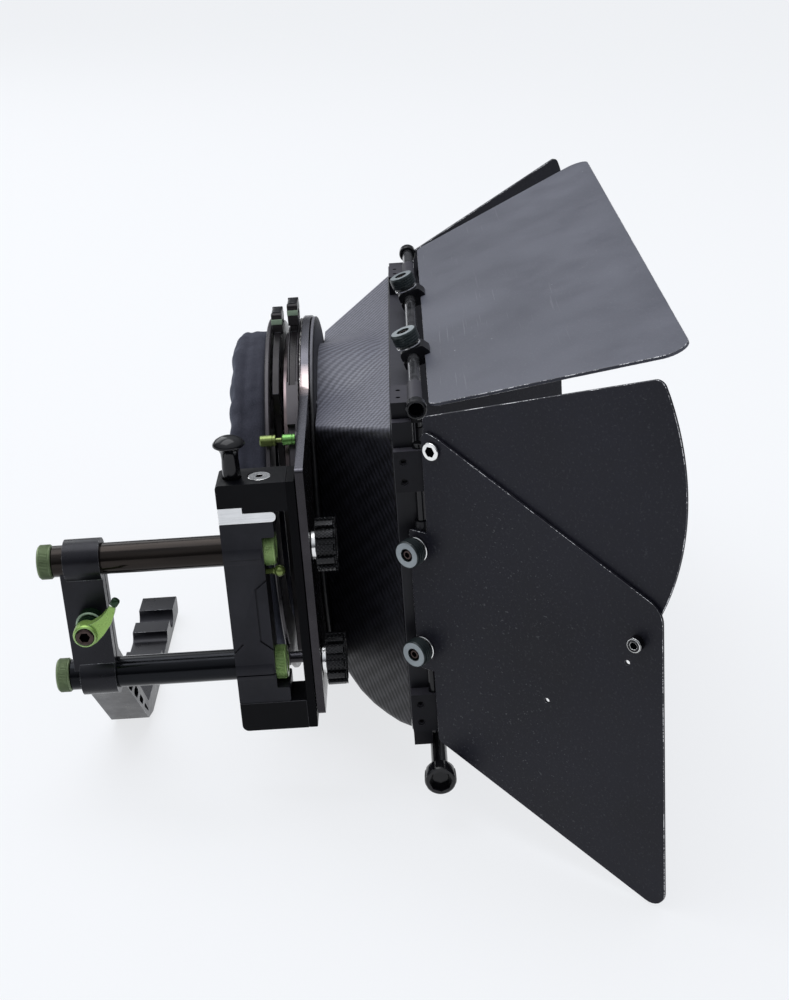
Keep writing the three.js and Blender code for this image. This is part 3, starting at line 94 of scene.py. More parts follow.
def bar(axis, radius, low, high, centre=(0, 0, 0), edge=0.3, steps=64):
    """A round bar with a small chamfer at each end."""
    return turned(axis, [
        (low, 0), (low, radius - edge), (low + edge, radius),
        (high - edge, radius), (high, radius - edge), (high, 0),
    ], centre, steps)


def drill(axis, radius, low, high, centre=(0, 0, 0), steps=48):
    """A plain cylinder, for a hole or a boss."""
    return turned(axis, [(low, 0), (low, radius), (high, radius), (high, 0)], centre, steps)


def fillet(corners, steps=6):
    """Corner points, each with an optional radius, as a smooth closed outline."""
    points = []
    for at, corner in enumerate(corners):
        here = Vector(corner[:2])
        radius = corner[2] if len(corner) > 2 else 0
        if radius <= 0:
            points.append(here)
            continue
        back = Vector(corners[at - 1][:2]) - here
        ahead = Vector(corners[(at + 1) % len(corners)][:2]) - here
        half = back.angle(ahead) / 2
        reach = min(radius / math.tan(half), back.length * 0.49, ahead.length * 0.49)
        true_radius = reach * math.tan(half)
        middle = here + (back.normalized() + ahead.normalized()).normalized() * (true_radius / math.sin(half))
        start = here + back.normalized() * reach - middle
        end = here + ahead.normalized() * reach - middle
        sweep = start.angle_signed(end)
        for step in range(steps + 1):
            points.append(middle + Matrix.Rotation(-sweep * step / steps, 2) @ start)
    return points


def slab(plane, outline, low, high):
    """A flat outline pushed out between two places on the plane's normal."""
    lay = {
        "xy": lambda u, v: (u, v, low),
        "xz": lambda u, v: (u, low, v),
        "yz": lambda u, v: (low, u, v),
    }[plane]
    push = {"xy": (0, 0, high - low), "xz": (0, high - low, 0), "yz": (high - low, 0, 0)}[plane]
    shape = bmesh.new()
    face = shape.faces.new([shape.verts.new(lay(*point)) for point in outline])
    grown = bmesh.ops.extrude_face_region(shape, geom=[face], use_keep_orig=True)
    raised = [item for item in grown["geom"] if isinstance(item, bmesh.types.BMVert)]
    bmesh.ops.translate(shape, verts=raised, vec=push)
    return face_up(shape)


def block(xs, ys, zs):
    """A box between two places on each axis."""
    shape = bmesh.new()
    bmesh.ops.create_cube(shape, size=1)
    bmesh.ops.scale(shape, verts=shape.verts, vec=tuple(high - low for low, high in (xs, ys, zs)))
    return moved(shape, tuple((low + high) / 2 for low, high in (xs, ys, zs)))


def rectangle(x0, x1, y0, y1, radius, steps=6):
    return fillet([(x0, y0, radius), (x1, y0, radius), (x1, y1, radius), (x0, y1, radius)], steps)


def polar(radius, degrees, centre=(0, 0)):
    """A point on a circle."""
    angle = math.radians(degrees)
    return (centre[0] + radius * math.cos(angle), centre[1] + radius * math.sin(angle))


def hexagon(across, centre=(0, 0)):
    """A hexagon by its width across the flats."""
    return [polar(across / math.sqrt(3), 60 * at, centre) for at in range(6)]


def ring_of_teeth(outer, inner, count):
    """An outline of even teeth round a circle."""
    tooth = ((0.2, inner), (0.32, outer), (0.68, outer), (0.8, inner))
    return [polar(radius, 360 * (at + share) / count) for at in range(count) for share, radius in tooth]


def span(side, a, b):
    """Two distances out from the lens plane, as places on the given side from low to high."""
    return tuple(sorted((side * a, side * b)))


def moved(shape, vec):
    bmesh.ops.translate(shape, verts=shape.verts, vec=vec)
    return shape


def loose(shape):
    """A shape as an object of its own, for the boolean work."""
    mesh = bpy.data.meshes.new("loose")
    shape.to_mesh(mesh)
    shape.free()
    thing = bpy.data.objects.new("loose", mesh)
    bpy.context.scene.collection.objects.link(thing)
    return thing


def worked(shape, *tools, way="DIFFERENCE"):
    """Cuts tools from a shape, or joins them to it."""
    base = loose(shape)
    helpers = [loose(tool) for tool in tools]
    for helper in helpers:
        change = base.modifiers.new("work", "BOOLEAN")
        change.operation = way
        change.solver = "EXACT"
        change.object = helper
    bpy.context.view_layer.update()
    seen = base.evaluated_get(bpy.context.evaluated_depsgraph_get())
    result = bmesh.new()
    result.from_mesh(seen.to_mesh())
    seen.to_mesh_clear()
    for thing in [base, *helpers]:
        mesh = thing.data
        bpy.data.objects.remove(thing)
        bpy.data.meshes.remove(mesh)
    bmesh.ops.remove_doubles(result, verts=result.verts, dist=1e-4)
    bmesh.ops.dissolve_limit(result, angle_limit=math.radians(0.4), verts=result.verts, edges=result.edges)
    return result


def cut(shape, *tools):
    return worked(shape, *tools)


def join(shape, *tools):
    return worked(shape, *tools, way="UNION")


def finished(
    name, shape, body, finish, nodes=(), place=None, edge=0.0, edge_finish=None, segments=2, sharp=32,
):
    """Gives a shape its finish and its bevel, puts it in place and lets it ride on its body."""
    mesh = bpy.data.meshes.new(name)
    shape.to_mesh(mesh)
    shape.free()
    mesh.transform(TO_FRAME @ (place or Matrix.Identity(4)))
    mesh.materials.append(finish)
    mesh.shade_smooth()
    mesh.set_sharp_from_angle(angle=math.radians(sharp))
    piece = bpy.data.objects.new(name, mesh)
    bpy.context.scene.collection.objects.link(piece)
    if edge > 0:
        bevel = piece.modifiers.new("edge", "BEVEL")
        bevel.width = edge * 0.001
        bevel.segments = segments
        bevel.limit_method = "ANGLE"
        bevel.angle_limit = math.radians(sharp)
        bevel.use_clamp_overlap = True
        bevel.miter_outer = "MITER_ARC"
        bevel.harden_normals = True
        if edge_finish:
            mesh.materials.append(edge_finish)
            bevel.material = 1
    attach(piece, body)
    if nodes:
        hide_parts(*([nodes] if isinstance(nodes, str) else nodes))
    return piece


def socket_shade(name, plane, across, centre, low, high, body, place=None):
    """A near-black hexagon slab in a socket, a hair narrower than the socket itself: painted shade for the socket's
    depth.
    """
    finished(name, slab(plane, hexagon(across - 0.04, centre), low, high), body, SOCKET_SHADE, place=place)


# ---------------------------------------------------------------- finishes

def fill(node, values):
    """Sets the inputs of a node, and links those whose value is an output."""
    for name, value in values.items():
        if isinstance(value, bpy.types.NodeSocket):
            node.id_data.links.new(value, node.inputs[name])
        else:
            node.inputs[name].default_value = value


def add(tree, kind, out, values, **settings):
    """Adds a shader node with its settings and inputs, and gives back one of its outputs."""
    node = tree.nodes.new("ShaderNode" + kind)
    for name, value in settings.items():
        setattr(node, name, value)
    fill(node, values)
    return node.outputs[out]


class Finish:
    """A material whose nodes are added one after the other."""

    def __init__(self, name, colour, roughness, metallic=0.0, specular=0.5, coat=0.0):
        self.material = bpy.data.materials.new(name)
        self.material.use_nodes = True
        self.tree = self.material.node_tree
        self.shader = self.tree.nodes["Principled BSDF"]
        fill(self.shader, {
            "Base Color": (*colour, 1), "Roughness": roughness, "Metallic": metallic,
            "Specular IOR Level": specular, "Coat Weight": coat, "Coat Roughness": 0.3,
        })
        self.place = self.add("TexCoord", "Object", {})

    def add(self, kind, out, values, **settings):
        return add(self.tree, kind, out, values, **settings)

    def turned_place(self, scale=(1, 1, 1), turn=(0, 0, 0), shift=(0, 0, 0)):
        turn = [math.radians(angle) for angle in turn]
        return self.add("Mapping", "Vector", {
            "Vector": self.place, "Scale": scale, "Rotation": turn, "Location": shift,
        })

    def noise(self, scale, detail=3.0, roughness=0.55, place=None):
        return self.add("TexNoise", "Fac", {
            "Vector": place or self.place, "Scale": scale, "Detail": detail, "Roughness": roughness,
        })

    def wave(self, scale, place=None, profile="SIN", distortion=0.0, detail=0.0, detail_scale=1.0):
        return self.add("TexWave", "Fac", {
            "Vector": place or self.place, "Scale": scale, "Distortion": distortion,
            "Detail": detail, "Detail Scale": detail_scale,
        }, bands_direction="DIAGONAL", wave_profile=profile)

    def spread(self, value, low, high, to_low=0.0, to_high=1.0):
        return self.add("MapRange", "Result", {
            "Value": value, "From Min": low, "From Max": high, "To Min": to_low, "To Max": to_high,
        })

    def combine(self, first, second, operation="ADD"):
        return self.add("Math", "Value", {0: first, 1: second}, operation=operation, use_clamp=True)

    def blend(self, share, first, second):
        """Goes from the first colour to the second. A Mix node has its colours at inputs 6 and 7."""
        first, second = ((*value, 1) if isinstance(value, tuple) else value for value in (first, second))
        return self.add("Mix", 2, {0: share, 6: first, 7: second}, data_type="RGBA")

    def near(self, spot, inner, outer):
        """One close to a spot in lens millimetres, nought away from it."""
        away = self.add("VectorMath", "Value", {0: self.place, 1: TO_FRAME @ Vector(spot)}, operation="DISTANCE")
        return self.spread(away, inner * 0.001, outer * 0.001, 1, 0)

    def facing_up(self, low, high):
        """One on faces that look up, nought on upright ones."""
        normal = self.add("TexCoord", "Normal", {})
        return self.spread(self.add("SeparateXYZ", "Z", {"Vector": normal}), low, high)

    def colour(self, out):
        fill(self.shader, {"Base Color": out})

    def roughness(self, value, smooth, rough, low=0.3, high=0.7):
        fill(self.shader, {"Roughness": self.spread(value, low, high, smooth, rough)})

    def bump(self, height, depth, strength=1.0):
        """Adds a relief to those that the finish already has."""
        held = self.shader.inputs["Normal"]
        values = {"Height": height, "Distance": depth, "Strength": strength}
        if held.is_linked:
            values["Normal"] = held.links[0].from_socket
        fill(self.shader, {"Normal": self.add("Bump", "Normal", values)})


def anodised(name, dark, light, rough, metallic, specular=0.5, grain=0.000012, lit_top=None, glint=None):
    """Bead-blasted and dyed aluminium: cloudy dye, a fine tooth, faint handling marks, perhaps painted light on faces
    that look up and a painted glint round one spot.
    """
    finish = Finish(name, dark, rough[0], metallic, specular)
    tone = finish.blend(finish.spread(finish.noise(38, 4), 0.3, 0.75), dark, light)
    # Faces that look up are painted lighter, as light falling from above.
    if lit_top:
        tone = finish.blend(finish.facing_up(0.3, 0.9), tone, lit_top)
    # A painted glint: the colour turns bright round one spot.
    if glint:
        spot, inner, outer, bare_and_glint = glint
        tone = finish.blend(finish.near(spot, inner, outer), tone, bare_and_glint)
    finish.colour(tone)
    finish.roughness(finish.noise(75, 5, 0.7), *rough)
    finish.bump(finish.noise(2600, 2), grain)
    return finish.material


def worn_edge(name, base, bare_and_glint, amount):
    """An edge whose dark coat is rubbed through to the metal beneath, here and there."""
    finish = Finish(name, base, 0.3, 0.85)
    chip = finish.noise(1400, 3, 0.7)
    worn = finish.combine(finish.noise(110), finish.spread(chip, 0.35, 0.65, -0.16, 0.16))
    finish.colour(finish.blend(finish.spread(worn, 0.66 - amount, 0.7 - amount), base, bare_and_glint))
    finish.roughness(chip, 0.24, 0.4)
    return finish.material


def polished(name, colour, pale, rough=(0.16, 0.24)):
    """Plain turned metal with a faint cloud in its tone."""
    finish = Finish(name, colour, rough[0], 1.0)
    cloud = finish.noise(150, 2)
    finish.colour(finish.blend(finish.spread(cloud, 0.3, 0.7), colour, pale))
    finish.roughness(cloud, *rough)
    return finish.material


def knurled(name, dark, light, fine=330, depth=0.00016, rough=(0.2, 0.34), metallic=0.55):
    """Dyed metal with a fine diamond knurl cut in its rim."""
    finish = Finish(name, dark, rough[0], metallic)
    finish.colour(finish.blend(finish.spread(finish.noise(60), 0.3, 0.7), dark, light))
    finish.roughness(finish.noise(90, 4), *rough)
    one = finish.wave(fine, profile="TRI")
    other = finish.wave(fine, finish.turned_place((-1, 1, 1)), "TRI")
    finish.bump(finish.combine(one, other, "MULTIPLY"), depth)
    return finish.material


def gloss_rod(name, dark, light):
    """A polished dark rod with faint streaks along it."""
    finish = Finish(name, dark, 0.16, 0.75, 0.4)
    along = finish.noise(260, place=finish.turned_place((0.05, 1, 1)))
    finish.colour(finish.blend(finish.spread(along, 0.35, 0.7), dark, light))
    finish.roughness(finish.noise(60, 5), 0.1, 0.26, high=0.75)
    finish.bump(finish.noise(1500, 2, place=finish.turned_place((0.04, 1, 1))), 0.000004)
    return finish.material


def brushed(name, colour, pale):
    """Milled metal with fine tool lines across."""
    finish = Finish(name, colour, 0.24, 1.0)
    line = finish.noise(1700, 3, 0.7, finish.turned_place((0.03, 1, 1)))
    mark = finish.combine(line, finish.spread(finish.noise(60), 0.3, 0.7, -0.12, 0.12))
    finish.colour(finish.blend(finish.spread(mark, 0.3, 0.7), colour, pale))
    finish.roughness(line, 0.24, 0.42)
    finish.bump(line, 0.000008)
    return finish.material


def scratched_paint(name, dark, light, marks, dust, rough, specular, hairs, few, scuffs):
    """Satin black paint on sheet metal, with hairline scratches, rubbed patches and pale specks."""
    finish = Finish(name, dark, rough[0], 0.0, specular)

    def share(out, amount):
        return finish.combine(out, amount, "MULTIPLY")

    def patches(scale, shift, low, high, detail):
        return finish.spread(finish.noise(scale, detail, place=finish.turned_place(shift=shift)), low, high)

    tone = finish.blend(finish.spread(finish.noise(14, 5, 0.6), 0.35, 0.75), dark, light)
    lines = None
    for angle, fine, offset in ((24, 620, 0.0), (-37, 760, 0.4), (81, 540, 0.9), (152, 840, 1.7)):
        place = finish.turned_place((1, 0.022, 1), (angle * 0.4, angle * 0.7, angle), (offset, offset, 0))
        hair = finish.spread(finish.noise(fine, 2, 0.4, place), 0.715, 0.75)
        lines = finish.combine(lines, hair, "MAXIMUM") if lines else hair
    scratch = share(lines, patches(9, (3, 1, 2), 0.47, 0.62, 3))
    rub = share(finish.spread(finish.noise(130, 6, 0.75), 0.63, 0.8), patches(11, (7, 4, 1), 0.5, 0.68, 2))
    speck = finish.add("TexVoronoi", "Distance", {"Vector": finish.place, "Scale": 150})
    spot = share(finish.spread(speck, 0.05, 0.075, 1, 0), finish.spread(finish.noise(45, 2), few, few + 0.06))
    grit = finish.spread(finish.noise(900, 4, 0.7), 0.56, 0.72, 0, 0.16)
    for amount in (share(scratch, hairs), share(rub, scuffs), grit):
        tone = finish.blend(amount, tone, (marks, marks * 1.01, marks * 1.04))
    finish.colour(finish.blend(share(spot, 0.9), tone, (dust, dust * 1.02, dust * 1.04)))
    finish.roughness(finish.combine(finish.noise(28, 6, 0.7), share(scratch, 0.2), "SUBTRACT"), *rough)
    finish.bump(finish.noise(1900, 2), 0.00001)
    finish.bump(finish.noise(16, 2), 0.0006, 0.25)
    return finish.material


# The hood's rear and front along X, and the share of its length where the box begins.
HOOD_REAR, HOOD_FRONT, HOOD_NECK = 119.3, 160.0, 0.072


def twill_shell(name):
    """Moulded carbon shell: slanting twill ribs over a finer cross weave, with a soft resin gloss."""
    finish = Finish(name, (0.01, 0.01, 0.012), 0.42, 0.0, 0.28, 0.06)
    rib = finish.wave(112, finish.turned_place((1, -1, 1)), distortion=1.6, detail=2, detail_scale=0.6)
    tow = finish.wave(205, finish.turned_place((1, 1, 0.3)), distortion=0.8, detail=1)
    weave = finish.combine(finish.spread(rib, 0.1, 0.9, 0, 0.7), finish.spread(tow, 0.2, 0.8, 0, 0.3))
    weave = finish.combine(weave, finish.spread(finish.noise(420), 0.3, 0.7, -0.22, 0.22))
    cloud = finish.noise(34)
    # The sides are painted darker and the roof lighter, as shade and light from above; facing_up blends them.
    side = finish.blend(finish.spread(weave, 0.2, 0.9), (0.0028, 0.0028, 0.0042), (0.019, 0.019, 0.0245))
    side = finish.blend(finish.spread(cloud, 0.52, 0.7, 0, 0.5), side, (0.024, 0.0245, 0.031))
    lit_roof = finish.blend(finish.spread(weave, 0.15, 0.9), (0.064, 0.064, 0.081), (0.17, 0.172, 0.21))
    lit_roof = finish.blend(finish.spread(cloud, 0.35, 0.7, 0, 0.4), lit_roof, (0.135, 0.137, 0.168))
    shell = finish.blend(finish.facing_up(0.35, 0.86), side, lit_roof)
    # The collar is painted near black on its sides, as shade in the gap behind the front plate, and grey on top, as
    # light from above.
    rear = HOOD_REAR * 0.001
    along = finish.add("SeparateXYZ", "X", {"Vector": finish.place})
    collar = finish.spread(along, rear + 0.0023, rear + 0.0032, 1, 0)
    plain = finish.blend(finish.facing_up(0.75, 0.97), (0.006, 0.006, 0.0075), (0.14, 0.138, 0.158))
    finish.colour(finish.blend(collar, shell, plain))
    finish.roughness(weave, 0.52, 0.36, 0.2, 0.9)
    finish.bump(weave, 0.00016, 0.6)
    return finish.material


def seal_cloth(name):
    """Close-woven stretch fabric with a soft nap."""
    finish = Finish(name, (0.009, 0.01, 0.013), 0.9, 0.0, 0.2)
    fill(finish.shader, {"Sheen Weight": 0.22, "Sheen Roughness": 0.5, "Sheen Tint": (0.42, 0.46, 0.56, 1)})
    nap = finish.noise(1700, 3, 0.7)
    cloud = finish.noise(48, 5, 0.65)
    tone = finish.blend(finish.spread(nap, 0.3, 0.7), (0.021, 0.0215, 0.031), (0.045, 0.046, 0.063))
    finish.colour(finish.blend(finish.spread(cloud, 0.45, 0.75, 0, 0.5), tone, (0.05, 0.051, 0.07)))
    finish.bump(nap, 0.0002, 0.6)
    finish.bump(finish.noise(210, 4), 0.0009, 0.5)
    return finish.material


BLACK = anodised("black anodised", (0.009, 0.009, 0.0115), (0.018, 0.018, 0.022), (0.28, 0.42), 0.4, 0.25)
BLACK_FINE = anodised("black anodised fine", (0.006, 0.006, 0.008), (0.013, 0.013, 0.0165), (0.24, 0.36), 0.4, 0.3)
ARM_BLACK = anodised("arm black", (0.0075, 0.0075, 0.01), (0.019, 0.019, 0.0245), (0.24, 0.38), 0.5, 0.35)
DEEP_BLACK = anodised("deep black", (0.0012, 0.0012, 0.0022), (0.003, 0.003, 0.0045), (0.32, 0.46), 0.0, 0.1)
# Near black and matte: painted shade set into sockets, knob cups and holes.
SOCKET_SHADE = anodised("painted socket shade", (0.0008, 0.0008, 0.001), (0.0015, 0.0015, 0.002), (0.8, 0.9), 0.0, 0.0)
BLOCK_BLACK = anodised("black block", (0.011, 0.011, 0.0145), (0.023, 0.023, 0.0285), (0.34, 0.5), 0.3, 0.22)
# The upright plate is near black with almost no sheen: painted shade between the rod block and the front plate.
UPRIGHT_SHADE = anodised("upright plate in painted shade", (0.0012, 0.0012, 0.002), (0.003, 0.003, 0.004), (0.34, 0.5), 0.0, 0.06)
# The frame is black; its faces that look up are painted grey, as light from above.
RIM_BLACK_LIT_TOP = anodised(
    "frame black, painted light on top", (0.007, 0.007, 0.0095), (0.015, 0.015, 0.019), (0.34, 0.48), 0.2, 0.25,
    lit_top=(0.044, 0.0435, 0.053),
)
# Faces that look up are painted lighter, as light from above.
BRACKET_BLACK = anodised(
    "bracket black", (0.003, 0.003, 0.0045), (0.0075, 0.0075, 0.011), (0.34, 0.48), 0.1, 0.18,
    lit_top=(0.05, 0.048, 0.058),
)
RING_BLACK = anodised("ring black", (0.036, 0.0325, 0.0365), (0.062, 0.056, 0.062), (0.24, 0.36), 0.5, 0.4)
TRAY_BLACK = anodised("tray black", (0.011, 0.0095, 0.0105), (0.026, 0.0225, 0.025), (0.24, 0.36), 0.5, 0.3)
# Faces that look up are painted lighter, as light from above, and a pinkish painted glint sits on the disc's rim.
PLATE_BLACK = anodised(
    "plate black", (0.022, 0.02, 0.023), (0.045, 0.041, 0.046), (0.2, 0.32), 0.7, 0.4,
    lit_top=(0.1, 0.098, 0.115), glint=((117, -52.4, 80.7), 4, 13, (0.5, 0.42, 0.42)),
)
GLOSS_BLACK = anodised("gloss black knob", (0.004, 0.004, 0.0052), (0.01, 0.01, 0.012), (0.1, 0.2), 0.4)
KNURL_BLACK = knurled("knurled black knob", (0.006, 0.006, 0.007), (0.014, 0.014, 0.016))
EDGE = worn_edge("black edge", (0.034, 0.034, 0.038), (0.4, 0.4, 0.42), -0.12)
KNURL_EDGE = worn_edge("knob edge", (0.05, 0.05, 0.053), (0.75, 0.76, 0.78), 0.13)
ARM_EDGE = worn_edge("arm edge", (0.16, 0.163, 0.175), (0.6, 0.61, 0.64), 0.1)
RING_EDGE = worn_edge("chipped ring edge", (0.06, 0.055, 0.056), (0.85, 0.83, 0.82), 0.14)
FLAG_EDGE = worn_edge("rubbed flag edge", (0.09, 0.09, 0.1), (0.8, 0.8, 0.82), 0.13)
PLATE_EDGE = worn_edge("chipped plate edge", (0.1, 0.09, 0.092), (0.85, 0.8, 0.79), 0.1)
UPPER_ROD = gloss_rod("brown-black rod", (0.011, 0.0085, 0.0075), (0.028, 0.022, 0.0185))
HINGE_ROD = gloss_rod("grey rod", (0.06, 0.06, 0.066), (0.16, 0.16, 0.17))
LOWER_ROD = gloss_rod("cool black rod", (0.0035, 0.004, 0.0055), (0.01, 0.011, 0.014))
GREEN = knurled("green knurl", (0.09, 0.125, 0.058), (0.2, 0.265, 0.135), 560, 0.0001, (0.26, 0.38), 0.4)
GREEN_FRONT = knurled("bright green knurl", (0.17, 0.28, 0.085), (0.36, 0.5, 0.2), 560, 0.00012, (0.22, 0.34), 0.5)
GREEN_OLIVE = anodised("olive green anodised", (0.22, 0.37, 0.085), (0.34, 0.53, 0.14), (0.22, 0.34), 0.5)
GREEN_YELLOW = anodised("yellow green anodised", (0.15, 0.2, 0.055), (0.25, 0.31, 0.1), (0.16, 0.26), 0.6)
GREEN_BRIGHT = anodised("bright green anodised", (0.11, 0.28, 0.065), (0.18, 0.4, 0.11), (0.16, 0.26), 0.6)
GREEN_PALE = anodised("pale green anodised", (0.24, 0.33, 0.23), (0.34, 0.44, 0.32), (0.3, 0.42), 0.3)
GREEN_DARK = anodised("dark green anodised", (0.01, 0.03, 0.014), (0.022, 0.055, 0.024), (0.18, 0.3), 0.6)
SILVER = brushed("milled aluminium", (0.64, 0.65, 0.665), (0.84, 0.85, 0.865))
STEEL = polished("bright steel", (0.76, 0.76, 0.76), (0.92, 0.92, 0.91))
# A faint pinkish painted glint sits on the ring's upper near side.
PINK_METAL = anodised(
    "pink bronze", (0.03, 0.024, 0.025), (0.06, 0.047, 0.048), (0.16, 0.26), 0.9,
    glint=((106.5, -45.5, 75.8), 2, 13, (0.2, 0.155, 0.16)),
)
BRONZE_BOLT = polished("browned bolt", (0.035, 0.026, 0.024), (0.09, 0.066, 0.062), (0.2, 0.32))
CARBON = twill_shell("carbon twill")
# The same black paint as the side flags, painted lighter as light falling from above on the raised top flag.
FLAG_PAINT_LIT = scratched_paint(
    "flag paint lit from above", (0.064, 0.067, 0.088), (0.112, 0.116, 0.144), marks=0.34, dust=0.6,
    rough=(0.44, 0.6), specular=0.5, hairs=0.16, few=0.66, scuffs=0.5,
)
FLAG_SIDE = scratched_paint(
    "side flag paint", (0.0065, 0.0065, 0.0115), (0.0165, 0.0165, 0.0245), marks=0.16, dust=0.34,
    rough=(0.42, 0.56), specular=0.22, hairs=0.3, few=0.7, scuffs=0.42,
)
PETROL = anodised("petrol anodised", (0.012, 0.018, 0.0195), (0.03, 0.041, 0.043), (0.26, 0.4), 0.4)
PETROL_FACE = anodised("worn knob face", (0.22, 0.25, 0.265), (0.36, 0.395, 0.41), (0.3, 0.42), 0.4)
CLOTH = seal_cloth("seal fabric")
PLASTIC = anodised("black plastic", (0.0035, 0.0035, 0.0048), (0.008, 0.008, 0.0105), (0.16, 0.28), 0.0, 0.4, 0.00002)


# ---------------------------------------------------------------- small fittings

def local(origin, z_axis, x_axis=(0, 0, 1)):
    """A frame at a point, whose Z runs along the given axis."""
    up = Vector(z_axis).normalized()
    across = Vector(x_axis) - up * up.dot(Vector(x_axis))
    across.normalize()
    side = up.cross(across)
    turn = Matrix((across, side, up)).transposed().to_4x4()
    return Matrix.Translation(origin) @ turn


# ---------------------------------------------------------------- support arm and side rods

def on_line(z, start, end):
    """Where the line between two points, each a place across and a height, is at a height."""
    return start[0] + (z - start[1]) / (end[1] - start[1]) * (end[0] - start[0])


def make_arm():
    near, far, top, under = -140.0, -128.0, -85.0, -96.0
    outline = fillet([
        (near, UPPER_ROD_Z), (near, -38.4, 4), (-129, -41, 1), (-77.5, -92, 4), (-63.5, under, 4),
        (57, under, 3), (57, top, 3), (-72, top, 5), (far, -23, 7), (far, UPPER_ROD_Z),
    ], 8)
    clamps = [drill("x", 10.1, 2.8, 20, (0, ROD_Y, z), 72) for z in ROD_ZS]
    tools = [drill("x", 7.58, -4, 24, (0, ROD_Y, z), 72) for z in ROD_ZS]
    tools += [drill("x", 7.6, -4, 24, (0, y, top), 72) for y in (-30, 30)]
    dip = [(-14, top + 4), (-14, top - 5, 5), (9.5, top - 5, 5), (9.5, top + 4)]
    tools.append(slab("yz", fillet(dip, 8), -4, 24))
    tools.append(block((-4, 24), (ROD_Y - 0.8, ROD_Y + 0.8), (LOWER_ROD_Z, UPPER_ROD_Z)))
    tools.append(drill("y", 3.1, -160, -128.4, (LEVER_X, 0, LEVER_Z), 32))
    head, foot, web = -47.0, -93.0, 3.2
    near_edge, far_edge = ((-123, head), (-71.5, foot)), ((-131, -23), (-78, -85))
    shares = (0.06, 0.28, 0.5, 0.72, 0.96)
    for low, high in zip(shares, shares[1:]):
        upper, lower = head + (foot - head) * low, head + (foot - head) * high + web
        corners = ((near_edge, upper), (near_edge, lower), (far_edge, lower), (far_edge, upper))
        tools.append(slab("yz", fillet([(on_line(z, *edge), z, 1.6) for edge, z in corners], 4), 6, 24))
    shape = cut(join(slab("yz", outline, 0, 20), *clamps), *tools)
    finished("arm", shape, "arm", ARM_BLACK, "support_arm", edge=0.5, edge_finish=ARM_EDGE, sharp=35)


def make_side_rods():
    front = 96.4
    for name, z, rear, finish in (("upper", UPPER_ROD_Z, -3.4, UPPER_ROD), ("lower", LOWER_ROD_Z, -3.0, LOWER_ROD)):
        rod = bar("x", 7.5, rear, front, (0, ROD_Y, z), 0.6, 96)
        finished(f"side_rod_tube_{name}", rod, "carriage", finish, f"rod_{name}")
        for end, start, length, hollow, green in (
            ("rear", rear - 6.4, 6.4, (-1, 0.6), GREEN), ("front", front, 6.0, (5.4, 7), GREEN_FRONT),
        ):
            core = turned("z", [
                (0, 0), (0, 7.5), (0.5, 7.95), (length - 0.5, 7.95), (length, 7.5), (length, 0),
            ], steps=72)
            cap = join(core, slab("xy", ring_of_teeth(8.28, 7.95, 72), 0.9, length - 0.9))
            cap = moved(turn_to(cut(cap, drill("z", 5.2, *hollow)), "x"), (start, ROD_Y, z))
            node = f"rod_cap_{name}_{end}"
            finished(f"cap_{name}_{end}", cap, node, green, node, sharp=25)


def make_lever():
    centre = (LEVER_X, 0, LEVER_Z)
    boss = turned("y", [
        (-151.1, 0), (-151.1, 4.3), (-146.4, 4.3), (-146.4, 5.9), (-146.0, 6.3),
        (-142.2, 6.3), (-142.0, 6.0), (-140.05, 6.0), (-140.05, 0),
    ], centre)
    boss = cut(boss, drill("y", 3.08, -160, -130, centre))
    finished("clamp_boss", boss, "arm", GREEN_DARK, "lever_boss", edge=0.15)
    rim = turned("y", [(-146.5, 5.45), (-146.5, 5.9), (-146.05, 6.37), (-145.75, 6.37), (-145.75, 5.45)], centre)
    finished("clamp_boss_rim", rim, "arm", GREEN_PALE)
    hub = turned("y", [
        (-159.1, 0), (-159.1, 4.9), (-158.6, 5.5), (-157.9, 5.75),
        (-152.6, 5.75), (-151.9, 5.5), (-151.4, 4.9), (-151.4, 0),
    ], centre, 72)
    line = [
        (-3, -4.6), (4.0, -4.7, 3), (8.7, -0.2, 9), (12.9, 5.3, 10), (14.9, 10.0, 9), (15.7, 13.3),
        (12.9, 13.9), (11.2, 11.4, 9), (7.9, 8.1, 9), (3.4, 5.6, 4), (-2, 5.3),
    ]
    blade = slab("xz", fillet([(LEVER_X + x, LEVER_Z + z, *radius) for x, z, *radius in line], 5), -157.4, -153.0)
    shape = cut(join(hub, blade), drill("y", 3.1, -170, -140, centre), drill("y", 4.5, -170, -154.3, centre))
    finished("lever_arm", shape, "lever", GREEN_OLIVE, "clamp_lever", None, 0.8, GREEN_PALE, 3, 38)
    lean = math.radians(54)
    place = local((LEVER_X + 14.2, -155.2, LEVER_Z + 13.4), (math.cos(lean), 0, math.sin(lean)), (0, 1, 0))
    collar = turned("z", [(-0.6, 0), (-0.6, 1.5), (0.1, 1.75), (0.5, 1.75), (0.5, 0)], steps=40)
    finished("lever_collar", collar, "lever", STEEL, place=place)
    tip = turned("z", [(0.4, 0), (0.4, 1.7), (0.9, 1.95), (3.2, 2.0), (3.9, 1.7), (4.2, 1.1), (4.2, 0)], steps=40)
    finished("lever_tip", tip, "lever", GREEN_DARK, place=place)
    bolt = turned("y", [
        (-159.7, 0), (-159.7, 3.6), (-159.3, 4.15), (-154.7, 4.15), (-154.7, 3.0), (-131, 3.0), (-131, 0),
    ], centre, 48)
    across, middle = 4.4, (LEVER_X, LEVER_Z)
    bolt = cut(bolt, slab("xz", hexagon(across, middle), -165, -156.5))
    finished("lever_screw", bolt, "arm", BRONZE_BOLT, "lever_bolt", edge=0.15)
    socket_shade("lever_socket", "xz", across, middle, -158.9, -156.6, "arm")


# ---------------------------------------------------------------- swing mount

